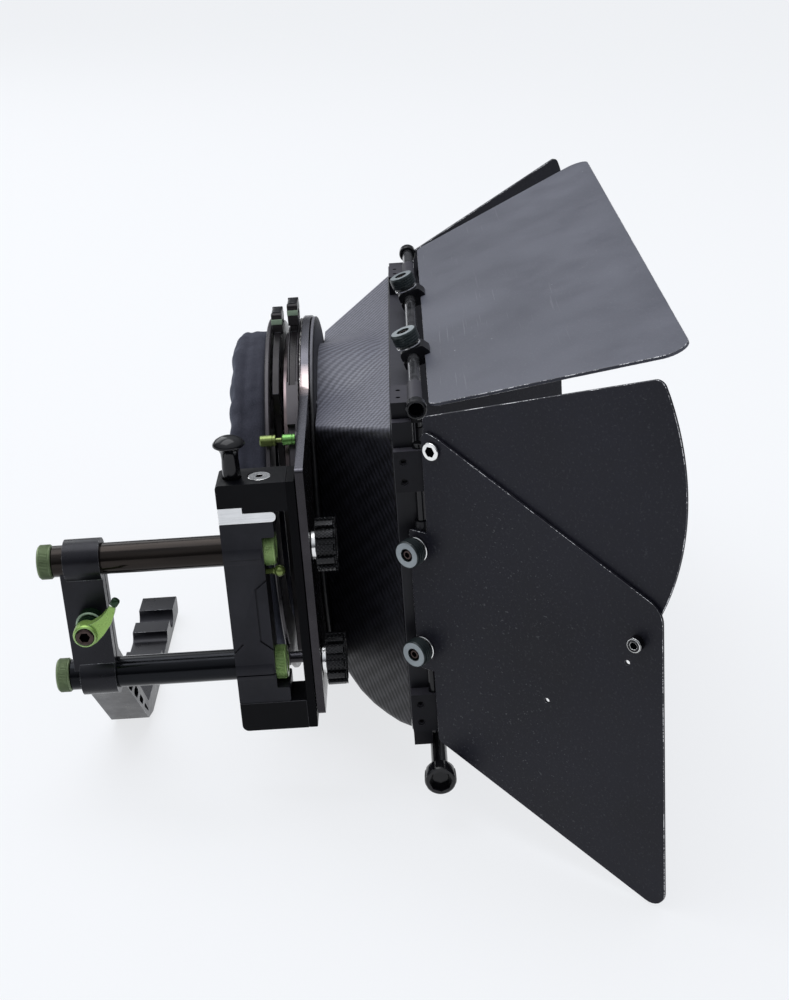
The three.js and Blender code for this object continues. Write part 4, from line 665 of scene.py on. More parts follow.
def groove(points, width, y_from, y_to):
    """Cutters along a line engraved in a face that looks towards -Y."""
    tools = []
    for start, end in zip(points, points[1:]):
        run = (Vector(end) - Vector(start)).normalized()
        side = Vector((-run.y, run.x)) * width / 2
        a = Vector(start) - run * width * 0.4
        b = Vector(end) + run * width * 0.4
        tools.append(slab("xz", [a - side, b - side, b + side, a + side], y_from, y_to))
    return tools


def at_pivot(radius, low, high, steps=48):
    """A cylinder on the line of the pivot screws."""
    return drill("z", radius, low, high, (PIVOT_X, ROD_Y, 0), steps)


def at_plunger(radius, low, high):
    """A cylinder on the line of the plunger."""
    return drill("z", radius, low, high, (PLUNGER_X, ROD_Y, 0))


def make_rod_block():
    near, far = ROD_Y - 9.6, ROD_Y + 9.6
    outline = fillet([
        (78, -50, 0.6), (103, -50, 0.8), (103, -42.5, 0.8), (97, -42.5, 0.4),
        (97, 36.6, 0.4), (103, 36.6, 0.8), (103, 44.4, 0.8), (78, 44.4, 0.6),
    ], 3)
    collars = [drill("x", 10.4, 78, 96.1, (0, ROD_Y, z), 80) for z in ROD_ZS]
    tools = []
    for z in ROD_ZS:
        tools.append(drill("x", 7.58, 70, 110, (0, ROD_Y, z), 80))
        tools.append(drill("x", 8.65, 96.1, 110, (0, ROD_Y, z), 80))
        tools.append(block((70, 97.5), (-150, -140), (z - 1.9, z - 1.2)))
    for panel in ([(97.5, 15.5), (91.6, 10.5), (91.6, -17.0), (98, -22.6)], [(76.5, -24.2), (82.6, -18.2)]):
        tools += groove(panel, 0.9, near - 3, near + 0.9)
    tools += [at_pivot(4.1, 38, 50), at_plunger(2.6, 39.8, 50), at_pivot(4.1, -55, -43.6)]
    tools.append(drill("x", 1.45, 91, 110, THUMB_SCREW, 24))
    shape = cut(join(slab("xz", outline, near, far), *collars), *tools)
    finished("swing_block", shape, "carriage", BLOCK_BLACK, "rod_block", edge=0.25, edge_finish=EDGE, sharp=30)


def make_knuckles():
    near, far = ROD_Y - 10, ROD_Y + 10
    shoe = slab("xz", fillet([
        (78, 44.4, 0.3), (104.6, 44.4, 2.4), (104.6, 49.6, 2.2), (89.4, 49.6), (89.4, 52.6, 0.3), (78, 52.6, 0.3),
    ], 5), ROD_Y - 9.6, ROD_Y + 9.6)
    shoe = cut(shoe, at_pivot(4.1, 40, 60), at_plunger(2.6, 40, 60))
    finished("wear_shoe", shoe, "swing", SILVER, "wear_plate", edge=0.25, edge_finish=STEEL, sharp=30)
    upper = slab("xz", fillet([
        (78, 52.72, 0.2), (89.7, 52.72), (89.7, 49.72, 0.2), (110.5, 49.72), (110.5, 64.2), (78, 64.2, 1.5),
    ], 2), near, far)
    upper = cut(
        upper, at_pivot(4.1, 40, 70), at_pivot(5.65, 60.8, 70, 64), at_plunger(4.5, 55.2, 70), at_plunger(2.6, 40, 70),
    )
    finished("knuckle_top", upper, "swing", DEEP_BLACK, "upper_knuckle", edge=0.8, edge_finish=BLACK, sharp=40)
    lower = slab("xz", fillet([
        (78, -65.3, 3.2), (110.5, -65.3), (110.5, -50.08), (78, -50.08, 0.3),
    ], 8), near, far)
    lower = cut(lower, at_pivot(4.1, -70, -40), at_pivot(5.65, -70, -61.9, 64))
    finished("knuckle_bottom", lower, "swing", DEEP_BLACK, "lower_knuckle", edge=0.4, edge_finish=EDGE, sharp=40)
    back = block((110.5, 114.7), (near, far), (-65.3, 64.2))
    back = cut(back, *[drill("x", 3.2, 100, 120, (0, ROD_Y, z)) for z in ROD_ZS])
    finished("upright_plate", back, "swing", UPRIGHT_SHADE, "upright", edge=0.5)
    across, middle = 3.3, (PIVOT_X, ROD_Y)
    for name, top, end, up in (("upper", 64.05, 38.3, 1), ("lower", -65.15, -43.9, -1)):
        screw = turned("z", [
            (top, 0), (top, 5.1), (top - up * 0.3, 5.5), (top - up * 3.0, 5.5),
            (top - up * 3.0, 4.0), (end, 4.0), (end, 0),
        ], (*middle, 0), 56)
        screw = cut(screw, slab("xy", hexagon(across, middle), top - 2.4, top + 2.4))
        finished(f"hinge_screw_{name}", screw, "carriage", STEEL, f"pivot_screw_{name}", edge=0.12)
        floor = sorted((top - up * 0.7, top - up * 2.3))
        socket_shade(f"hinge_socket_{name}", "xy", across, middle, *floor, "carriage")


def make_plunger():
    centre = (PLUNGER_X, ROD_Y, 0)
    knob = turned("z", [
        (44.7, 0), (44.7, 2.1), (45.1, 2.5), (62.1, 2.5), (62.1, 3.6), (62.5, 4.0), (65.6, 4.2), (66.6, 4.25),
        (69.5, 4.2), (73.5, 3.95), (76.6, 4.15), (78.4, 5.0), (79.4, 6.4), (79.9, 7.15), (80.3, 7.45),
        (80.9, 7.45), (81.4, 7.2), (82.8, 6.0), (83.8, 4.3), (84.4, 2.3), (84.6, 0),
    ], centre, 72)
    finished("pull_knob", knob, "plunger", GLOSS_BLACK, "plunger", sharp=50)
    wire, coil_radius, low, height, turns, steps = 0.3, 3.3, 55.65, 1.85, 3, 24
    coil = bmesh.new()
    ends = bmesh.ops.create_circle(coil, segments=10, radius=wire, cap_ends=False)["verts"]
    bmesh.ops.rotate(coil, verts=ends, cent=(0, 0, 0), matrix=Matrix.Rotation(math.pi / 2, 3, "X"))
    bmesh.ops.translate(coil, verts=ends, vec=(coil_radius, 0, low))
    bmesh.ops.contextual_create(coil, geom=list(coil.edges))
    bmesh.ops.spin(
        coil, geom=list(coil.faces), cent=(0, 0, 0), axis=(0, 0, 1), dvec=(0, 0, height / (turns * steps)),
        angle=2 * math.pi * turns, steps=turns * steps, use_duplicate=False,
    )
    finished("plunger_coil", moved(face_up(coil), centre), "swing", STEEL, "plunger_spring", sharp=60)


def make_ball_screw():
    radius, middle = 2.8, 103.4
    profile = [(91.3, 0), (91.3, 1.3), (100.3, 1.3), (100.5, 1.5)]
    for degrees in range(30, 181, 15):
        along, out = polar(radius, degrees)
        profile.append((middle - along, max(out, 0.0)))
    ball = turned("x", profile, THUMB_SCREW, 40)
    finished("thumb_ball", ball, "ball_screw", GREEN_YELLOW, "ball_screw", sharp=60)


def make_height_knobs():
    lobe = (
        (-14.6, 10.6), (-8.6, 10.6), (-8.0, 12.3), (-7.0, 12.8), (0, 12.95), (7.0, 12.8), (8.0, 12.3), (8.6, 10.6),
    )
    outline = [polar(radius, 30 * at + 15 + offset) for at in range(12) for offset, radius in lobe]
    for name, z in zip(("upper", "lower"), ROD_ZS):
        body = slab("xy", outline, 121.6, 130.9)
        for low, high in ((120.9, 122.5), (130.0, 131.4)):
            body = cut(body, turned("z", [(low, 12.2), (low, 16), (high, 16), (high, 13.4)], steps=60))
        body = cut(body, drill("z", 3.3, 128.7, 135), drill("z", 9.2, 130.3, 135, steps=60))
        shank = turned("z", [(110.8, 0), (110.8, 2.8), (111.1, 3.1), (121.9, 3.1), (121.9, 0)], steps=32)
        body = moved(turn_to(join(body, shank), "x"), (0, ROD_Y, z))
        node = f"height_knob_{name}"
        finished(f"castle_knob_{name}", body, node, KNURL_BLACK, node, None, 0.28, KNURL_EDGE, 1, 35)
        washer = turned("x", [
            (119.35, 3.4), (119.35, 6.7), (119.6, 6.95), (121.3, 6.95), (121.55, 6.7), (121.55, 3.4),
        ], (0, ROD_Y, z), 56)
        finished(f"castle_washer_{name}", washer, node, STEEL)


# ---------------------------------------------------------------- rings and trays

def about_lens(radius, degrees):
    """A point of the YZ plane, by its radius and its angle up from -Y."""
    across, height = polar(radius, degrees)
    return (-across, height)


PIN_SPOT = (0, *about_lens(99.5, 37.4))


def ring(outer, inner, low, high, edge):
    """A ring about the lens axis with chamfered outer edges."""
    return turned("x", [
        (low, inner), (low, outer - edge), (low + edge, outer),
        (high - edge, outer), (high, outer - edge), (high, inner),
    ], steps=160)


def post_lugs(low, high):
    """Round lugs at the three posts."""
    return [drill("x", 5.4, low, high, (0, *about_lens(101.1, degrees))) for degrees in POST_ANGLES]


def make_mounting_plate():
    low, high = 115.2, 119.0
    disc = drill("x", 96.2, low, high, steps=160)
    ear = slab("yz", fillet([(-144, -59, 3), (-20, -59), (-20, 82), (-144, 69.5, 2)], 5), low, high)
    posts = [drill("x", 3, 99, 117, (0, *about_lens(102.6, degrees)), 40) for degrees in POST_ANGLES]
    tools = [drill("x", 80, 100, 130, steps=128)]
    for z in ROD_ZS:
        tools.append(slab("yz", rectangle(ROD_Y - 3.5, ROD_Y + 3.5, z - 10, z + 10, 3.45, 8), 100, 130))
    shape = cut(join(disc, ear, *post_lugs(low, high), *posts), *tools)
    finished("front_plate", shape, "head", PLATE_BLACK, "mounting_plate", None, 0.45, PLATE_EDGE, 2, 35)


def make_fixed_rings():
    thin = ring(95.6, 80, 114.1, 115.2, 0.3)
    finished("thin_ring", thin, "head", RING_BLACK, "retainer_ring", edge=0.2, edge_finish=RING_EDGE, sharp=35)
    finished("bright_ring", ring(88.4, 80, 105.4, 107.7, 0.25), "head", PINK_METAL, "bearing_ring", sharp=35)
    low, high = 96.6, 99.0
    boss = bar("x", 2.35, 92.7, high, (0, *about_lens(93.8, 22)), 0.3, 48)
    back = join(ring(96.2, 70, low, high, 0.5), boss, *post_lugs(low, high))
    finished("back_ring", back, "head", RING_BLACK, "rear_ring", edge=0.3, edge_finish=EDGE, sharp=35)


def sector(start, end, low, high):
    """A thick arc beside a stage, between two angles."""
    line = [about_lens(99.4, degrees) for degrees in range(start, end + 1, 2)]
    line += [about_lens(91.0, degrees) for degrees in range(end, start - 1, -2)]
    return slab("yz", line, low, high)


def make_stage(name, low, high, web, pin_low):
    """A turning stage with the web that holds its green cross pin."""
    web_low, middle = high - web, (low + high) / 2
    shape = join(
        ring(95, 82, low, high, 0.5), sector(42, 56, low, high), sector(34, 44, web_low, high),
        drill("x", 4.0, web_low, high, PIN_SPOT),
    )
    way = block((middle - 1.95, middle + 1.95), (-57.25, 57.25), (-71.25, 99))
    shape = cut(shape, way, drill("x", 1.3, web_low - 4, high + 4, PIN_SPOT, 40))
    finished(f"stage_{name}", shape, f"stage_{name}", RING_BLACK, f"stage_ring_{name}", None, 0.3, EDGE, 2, 35)
    top, thin = web_low - 0.15, 1.18
    pin = turned("x", [
        (pin_low, 0), (pin_low, 2.4), (pin_low + 0.4, 2.8), (top - 1.9, 2.8), (top - 1.7, 2.6), (top - 1.4, 2.6),
        (top - 1.2, 2.8), (top - 0.3, 2.8), (top, 2.5), (top, thin), (high - 0.1, thin), (high - 0.1, 0),
    ], PIN_SPOT, 48)
    green = GREEN_YELLOW if name == "rear" else GREEN_BRIGHT
    finished(f"cross_pin_{name}", pin, f"lock_roller_{name}", green, f"lock_roller_{name}", sharp=30)


def make_tray(name, low, high, top):
    """A tray for a filter, with a handle, a green band and a release button above the rings."""
    middle = (low + high) / 2
    thick = (middle - 1.7, middle + 1.7)
    through = (thick[0] - 4, thick[1] + 4)
    arc = [polar(94.5, 90 - degrees) for degrees in range(36, -37, -3)]
    plate = slab("yz", fillet([(-57, -71, 5), (57, -71, 5), *arc], 6), *thick)
    handle = slab("yz", fillet([(-7.5, 72), (7.5, 72), (7.5, top, 2.6), (-7.5, top, 2.6)], 6), *thick)
    grip = [(-8, top - 10), (8, top - 10), (8, top + 1.2, 1.6), (-8, top + 1.2, 1.6)]
    grip = slab("yz", fillet(grip, 5), low + 0.15, high - 0.15)
    window = slab("yz", rectangle(-48.5, 48.5, -69, 69, 5), *through)
    shape = cut(join(plate, handle, grip), window, block(through, (-5.3, 5.3), (top - 6.9, top + 4)))
    tray, button = f"tray_{name}", f"tray_button_{name}"
    finished(f"tray_frame_{name}", shape, tray, TRAY_BLACK, tray, edge=0.35, edge_finish=EDGE, sharp=35)
    band = cut(
        slab("yz", rectangle(-8.15, 8.15, top - 4.6, top - 1.7, 0.3), low + 0.05, high - 0.05),
        block((low - 4, high + 4), (-5.3, 5.3), (top - 8, top + 4)),
    )
    finished(f"tray_band_{name}", band, tray, GREEN_PALE, edge=0.15)
    release = slab("xz", fillet([
        (low + 0.1, top - 3.6), (high - 0.1, top - 3.6), (high - 0.1, top + 1.6, 1.8), (low + 0.1, top + 1.6, 1.8),
    ], 6), -5, 5)
    finished(f"tray_release_{name}", release, button, BLACK_FINE, button, edge=0.4, edge_finish=EDGE)


def make_stages():
    deep = 5.8
    for name, low, web, pin_low, tray_top in (("rear", 99.3, 2.7, 94.3, 103), ("front", 108.0, 1.7, 105.4, 107.4)):
        make_stage(name, low, low + deep, web, pin_low)
        make_tray(name, low, low + deep, tray_top)


def make_seal():
    """The fabric light seal: a soft bag with an elastic hem round the lens hole."""
    section = [
        (96.2, 71.8), (96.25, 80), (96.2, 86.4), (95.2, 88.4), (93.6, 89.3), (92.0, 89.7), (90.4, 89.8),
        (88.8, 89.9), (87.2, 90.0), (85.6, 90.1), (84.0, 90.2), (82.4, 90.2), (80.8, 89.9), (79.4, 89.0),
        (78.1, 87.2), (77.2, 84.6), (76.6, 81), (76.2, 77), (76.0, 73), (76.0, 66), (76.4, 58), (77.6, 51.5),
        (79.0, 48.2), (80.5, 47.2), (81.7, 47.6), (81.8, 49.5), (81.0, 54), (80.5, 66), (81.0, 76), (82.8, 82.4),
        (87, 85.4), (91, 85.6), (93.3, 83.5), (93.8, 71.8),
    ]
    shape = turned("x", section, steps=300)

    def held(value):
        return max(0.0, min(1.0, value))

    def crease(x, middle, width, start, wobble):
        return math.exp(-((x - middle) / width) ** 2) * max(0.0, start + 1.3 * noise.noise(Vector(wobble)))

    for point in shape.verts:
        radius = math.hypot(point.co.y, point.co.z)
        angle = math.atan2(point.co.z, point.co.y)
        slack = math.exp(-((radius - 86) / 9) ** 2) * held((96.3 - point.co.x) / 5)
        fold = 0.55 * math.sin(9 * angle) + 0.35 * math.sin(5 * angle + 1)
        lump = noise.noise(point.co / 15) + 0.6 * noise.noise(point.co / 6.5)
        drift = 1.2 * noise.noise(Vector((angle * 2.2, 3, 1)))
        first = crease(point.co.x, 86.0 + drift, 1.3, 0.75, (angle * 3.1, 8, 4))
        second = crease(point.co.x, 91.2 - drift, 1.0, 0.4, (angle * 3.7, 1, 6))
        out = slack * (0.8 * fold + 1.3 * lump - 0.9 - 2.4 * first - 1.4 * second)
        point.co.y += math.cos(angle) * out
        point.co.z += math.sin(angle) * out
        rear_face = held((84 - point.co.x) / 4) * held((radius - 49) / 5)
        swell = 1.9 * noise.noise(point.co / 11 + Vector((5, 2, 7))) + 0.7 * noise.noise(point.co / 5)
        point.co.x += rear_face * (0.9 + swell)
    seal = finished("seal_cloth", shape, "head", CLOTH, "light_seal", sharp=80)
    smooth = seal.modifiers.new("soft", "SUBSURF")
    smooth.levels = 1
    smooth.render_levels = 1


# ---------------------------------------------------------------- hood

HOOD_BELLY = ((0, 0), (0.133, 0.27), (0.24, 0.53), (0.38, 0.86), (0.54, 1.04), (0.7, 1.1), (0.86, 1.1), (1, 1))


def hood_quarter(half_width, half_height, corner):
    """From the middle of a section's upright side, over the corner, to the middle of its level side."""
    points = [(half_width, (half_height - corner) * (at + 0.5) / 30) for at in range(30)]
    for at in range(14):
        angle = (at + 0.5) / 14 * math.pi / 2
        points.append((half_width - corner + corner * math.cos(angle), half_height - corner + corner * math.sin(angle)))
    return points + [((half_width - corner) * (1 - (at + 0.5) / 56), half_height) for at in range(56)]


def hood_section(share, inset):
    """A section of the box that widens to the front, united softly with the cone that comes from the collar."""
    belly = 0.0
    for (low, first), (high, second) in zip(HOOD_BELLY, HOOD_BELLY[1:]):
        if low <= share <= high:
            belly = first + (second - first) * (share - low) / (high - low)
    side_inset = inset * math.hypot(1, 57 / (HOOD_FRONT - HOOD_REAR))
    half_width = 79 + 57 * share - side_inset
    top, bottom = 65.5 + 17.5 * share - inset, 58 + 17 * belly - inset
    forward = max(share - HOOD_NECK, 0) / (1 - HOOD_NECK)
    cone, lift = 80.5 - 3.5 * forward - inset, 4 * forward
    points = []
    for side_y, side_z, height in ((1, 1, top), (-1, 1, top), (-1, -1, bottom), (1, -1, bottom)):
        row = []
        for y, z in hood_quarter(half_width, height, 5):
            run = math.hypot(y, z)
            rising = side_z * z / run * lift
            reach = rising + math.sqrt(rising ** 2 - lift ** 2 + cone ** 2)
            soft = max(12 - abs(reach - run), 0) / 12
            scale = (max(reach, run) + soft * soft * 3.0 * (1 - forward ** 3)) / run if share < 1 else 1
            row.append((side_y * y * scale, side_z * z * scale))
        points += row if side_y * side_z > 0 else row[::-1]
    return points


def make_hood():
    def skin(shape, inset):
        rows = []
        for x, radius in ((0, 95.0), (0.4, 95.4), (1.7, 95.4), (2.2, 94.9), (2.5, 93.6), (2.55, 84.5)):
            row = []
            for y, z in hood_section(0, inset):
                scale = (radius - inset) / math.hypot(y, z)
                row.append(shape.verts.new((HOOD_REAR + x, y * scale, z * scale)))
            rows.append(row)
        for step in range(57):
            share = HOOD_NECK + (1 - HOOD_NECK) * step / 56
            x = HOOD_REAR + (HOOD_FRONT - HOOD_REAR) * share
            rows.append([shape.verts.new((x, y, z)) for y, z in hood_section(share, inset)])
        return rows

    shape = bmesh.new()
    loops = skin(shape, 0) + skin(shape, 1.7)[::-1]
    for first, second in zip(loops, loops[1:] + loops[:1]):
        for at, corner in enumerate(first):
            shape.faces.new((first[at - 1], corner, second[at], second[at - 1]))
    face_up(shape)
    finished("hood_shell", shape, "head", CARBON, "hood", sharp=50)


RIM_MIDDLE_Z = 4


def make_rim():
    low, high = 160.3, 170.3

    def frame_line(wide, tall, radius):
        return rectangle(-wide, wide, RIM_MIDDLE_Z - tall, RIM_MIDDLE_Z + tall, radius, 10)

    shape = cut(
        slab("yz", frame_line(138.6, 81.6, 10), low, high),
        slab("yz", frame_line(130.6, 73.6, 9), low - 4, high + 4),
        slab("yz", frame_line(133.4, 76.4, 9.5), 168.2, high + 4),
    )
    finished("front_frame", shape, "head", RIM_BLACK_LIT_TOP, "hood_rim", edge=0.5, edge_finish=EDGE, sharp=35)


def make_long_rods():
    x, z = TOP_HINGE
    top = bar("y", 3.0, -137, 137, (x, 0, z), steps=48)
    finished("top_hinge_tube", top, "head", HINGE_ROD, "top_rod")
    end = 143.0
    for name, side in SIDES:
        cap = bar("y", 4.9, *span(side, 136.8, end), (x, 0, z), 0.7, 56)
        hollow = [(end - 4.6, 0), (end - 4.6, 2.5), (end - 1.1, 2.9), (end + 1, 4.4), (end + 1, 0)]
        cap = cut(cap, turned("y", [(side * y, radius) for y, radius in hollow], (x, 0, z), 48))
        finished(f"top_hinge_cap_{name}", cap, "head", GLOSS_BLACK, edge=0.15)
        # A near-black disc in the cap's hole: painted shade.
        hole_shade = drill("y", 2.6, *span(side, end - 4.5, end - 1.6), (x, 0, z), 40)
        finished(f"top_hinge_plug_{name}", hole_shade, "head", SOCKET_SHADE)
    z = BOTTOM_ROD_Z
    long = bar("y", 4.0, -163, 163, (x, 0, z), steps=48)
    finished("bottom_rod_tube", long, "bottom_rod", GLOSS_BLACK, "bottom_rod")
    sweep = [
        (158.0, 0), (158.0, 6.0), (158.5, 6.9), (159.6, 7.55), (162.0, 7.7),
        (165.4, 7.7), (166.4, 7.4), (167.0, 6.8), (167.0, 0),
    ]
    for name, side in SIDES:
        knob = turned("y", [(side * y, radius) for y, radius in sweep], (x, 0, z), 72)
        tools = []
        for at in range(8):
            across, height = polar(8.6, 45 * at + 22.5, (x, z))
            tools.append(drill("y", 1.35, *span(side, 157, 168), (across, 0, height), 20))
        cup = [polar(5.6, 45 * at, (x, z)) for at in range(8)]
        tools.append(slab("xz", cup, *span(side, 162.4, 169)))
        finished(f"bottom_knob_{name}", cut(knob, *tools), "bottom_rod", PLASTIC, (), None, 0.35, EDGE, 2, 35)


def make_bracket(name, side, level, up, rod_z, reach, foot, hub, hole, side_zs):
    """A corner bracket: a hub round a long rod, a strip along the frame and a block for the upright rod."""
    x_hinge, y_hinge = SIDE_HINGE
    x_rod = TOP_HINGE[0]
    rim_edge = RIM_MIDDLE_Z + up * 81.9
    strip_end = rim_edge + up * 2.4
    shape = join(
        block((161, 173), span(side, *reach), span(1, rim_edge, rod_z + up * foot)),
        block((166, x_rod + hub), span(side, *reach), span(1, rim_edge, rod_z)),
        drill("y", hub, *span(side, reach[0] + 0.02, reach[1] - 0.02), (x_rod, 0, rod_z), 56),
        block((161, 170), span(side, reach[0], 141.3), span(1, rim_edge, strip_end)),
        block((161, 170), span(side, 138.9, 141.3), span(1, strip_end, side_zs[up < 0])),
        block((161, 174.2), span(side, 138.9, 146.3), side_zs),
    )
    tools = [
        drill("y", hole, -165, 165, (x_rod, 0, rod_z)),
        drill("z", 2.48, -73, 79, (x_hinge, side * y_hinge, 0)),
    ]
    if up > 0:
        tools.append(block((175.6, 190), span(side, reach[0] - 1, reach[1] + 1), (80, 112)))
    for step in (-4.9, 4.9):
        spot = (165.2, 0, sum(side_zs) / 2 + step)
        tools.append(drill("y", 1.3, *span(side, 143.4, 150), spot, 28))
        tools.append(drill("y", 1.9, *span(side, 145.6, 150), spot, 28))
    for step in (-5.0, 5.0) if up > 0 else ():
        tools.append(drill("z", 1.1, rod_z - 1, rod_z + 6, (164.6, side * (sum(reach) / 2 + step), 0), 24))
    shape, node = cut(shape, *tools), f"corner_bracket_{name}_{level}"
    finished(f"corner_clip_{name}_{level}", shape, "head", BRACKET_BLACK, node, None, 0.6, EDGE, 2, 35)


def make_brackets():
    x, y = SIDE_HINGE
    for name, side in SIDES:
        rod = bar("z", 2.4, -72.6, 78.5, (x, side * y, 0), 0.4, 48)
        finished(f"upright_hinge_{name}", rod, "head", GLOSS_BLACK, f"side_rod_{name}")
        reach = (112, 136.5) if side < 0 else (80, 104)
        make_bracket(name, side, "upper", 1, TOP_HINGE[1], reach, 2.0, 4.3, 3.08, (56, 76))
        make_bracket(name, side, "lower", -1, BOTTOM_ROD_Z, (100, 120), 4.0, 5.3, 4.08, (-70, -50))


# ---------------------------------------------------------------- flags

# Places on a side flag: along its sheet from the hinge, and up. The fan's lowest angle is in degrees.
FAN_PIVOT = (12.0, 78.2)
FAN_STOP = (116.8, 9.7)
FAN_RADIUS = 127
FAN_LOW = -29.1
FLAG_KNOBS = (("upper", 27.3, 13), ("lower", -24.4, 5.5))
STUD_HOLE = 2.05
HEAD_OUT = 5.25


def clamp_knob(name, body, place):
    """A clamp knob along local +Z from the flag's face: washer, neck, body and its set screw."""
    washer = turned("z", [(0.02, 0), (0.02, 5.9), (0.2, 6.2), (0.75, 6.2), (0.95, 5.9), (0.95, 0)], steps=56)
    finished(f"{name}_washer", washer, body, STEEL, place=place)
    profile = [(0.9, 0), (0.9, 4.0), (1.9, 4.0), (1.9, 5.9), (2.3, 6.5), (2.9, 6.75)]
    for groove_at in (3.7, 5.0, 6.3):
        profile += [(groove_at - 0.22, 6.75), (groove_at, 6.5), (groove_at + 0.22, 6.75)]
    profile += [(7.5, 6.75), (8.2, 6.3), (8.2, 3.1), (6.4, 2.95), (6.4, 0)]
    finished(name, turned("z", profile, steps=72), body, PETROL, body, place, sharp=35)
    annulus = turned("z", [(8.1, 3.2), (8.1, 6.15), (8.24, 6.05), (8.24, 3.3)], steps=72)
    finished(f"{name}_face", annulus, body, PETROL_FACE, place=place)
    # A near-black ring in the knob's cup: painted shade in the recess.
    cup = turned("z", [(6.3, 0), (6.3, 2.93), (7.0, 2.93), (7.0, 0)], steps=40)
    finished(f"{name}_cup", cup, body, SOCKET_SHADE, place=place)
    screw = turned("z", [(6.5, 0), (6.5, 2.3), (7.5, 2.3), (7.8, 2.0), (7.8, 0)], steps=40)
    screw = cut(screw, slab("xy", hexagon(2.5), 6.9, 9))
    finished(f"{name}_screw", screw, body, BRONZE_BOLT, place=place, edge=0.1)
    socket_shade(f"{name}_socket", "xy", 2.5, (0, 0), 6.8, 7.3, body, place)


def make_side_sheet(name, side, place):
    """The flag's sheet with its clamps, in the flag's own plane: along it, outward, and up."""
    flag = f"side_flag_{name}"
    outline = fillet([
        (6, 87.5, 4), (15, 84.5, 2), (128.5, 27, 11), (128.5, -127, 7), (5, -74, 3),
        (5, -36), (-4.5, -36, 1.5), (-4.5, 36.3, 1.5), (6, 36.3),
    ], 8)
    holes = [(2.35, FAN_PIVOT, 32), (1.85, FAN_STOP, 32)]
    holes += [(1.2, polar(*spot, FAN_PIVOT), 28) for spot in ((127.5, -39.0), (125, -63))]
    holes += [(STUD_HOLE, (0, z), 28) for _, z, _ in FLAG_KNOBS]
    sheet = cut(
        slab("xz", outline, *span(side, 3.4, 4.9)),
        *[drill("y", radius, *span(side, -2, 9), (spot[0], 0, spot[1]), steps) for radius, spot, steps in holes],
    )
    finished(f"side_sheet_{name}", sheet, flag, FLAG_SIDE, flag, place, 0.22, FLAG_EDGE, 1, 35)
    for level, z, height in FLAG_KNOBS:
        knob = f"flag_knob_{name}_{level}"
        hub = drill("z", 3.6, z - 5.5, z + height, steps=56)
        web = block((-3.6, 3.6), span(side, 0, 3.4), (z - 5.5, z + 8))
        jaw = cut(
            join(hub, web), drill("z", 2.48, z - 9, z + 16),
            drill("y", STUD_HOLE, *span(side, 2.4, 9), (0, 0, z), 28),
            block((-9, 9), span(side, -9, -2.9), (z - 0.5, z + 0.5)),
            block((-9, 9), span(side, 3.38, 9), (z - 9, z + 16)),
        )
        finished(f"flag_jaw_{name}_{level}", jaw, flag, BLACK_FINE, (), place, 0.35, EDGE, 2, 35)
        clamp_knob(f"flag_clamp_{name}_{level}", knob, place @ local((0, side * HEAD_OUT, z), (0, side, 0)))
        stud = drill("y", 1.7, *span(side, 2.78, 6), (0, 0, z), 28)
        finished(f"flag_stud_{name}_{level}", stud, knob, STEEL, (), place)


def make_fan(name, side, place):
    """The fan behind a side flag. Its upper edge is straight and lies 15.2 mm beside the pivot."""
    x, z = FAN_PIVOT
    edge, beside = math.radians(16.9), 15.2
    start = (x - beside * math.sin(edge), z + beside * math.cos(edge))
    run = math.sqrt(FAN_RADIUS ** 2 - beside ** 2)
    end = (start[0] + run * math.cos(edge), start[1] + run * math.sin(edge))
    top = math.degrees(math.atan2(end[1] - z, end[0] - x) - 8 / FAN_RADIUS)
    arc = [polar(FAN_RADIUS, top + (FAN_LOW - top) * step / 40, FAN_PIVOT) for step in range(41)]
    foot = polar(3, FAN_LOW, FAN_PIVOT)[0]
    outline = fillet([(x - 6, start[1], 2.5), (*end, 6), *arc, (foot, z - 6, 2.5), (x - 6, z - 6, 2.5)], 8)
    fan = cut(slab("xz", outline, *span(side, 1.65, 3.05)), drill("y", 2.35, *span(side, -2, 9), (x, 0, z), 32))
    finished(f"fan_sheet_{name}", fan, f"fan_{name}", FLAG_SIDE, f"fan_{name}", place, 0.2, FLAG_EDGE, 1, 35)


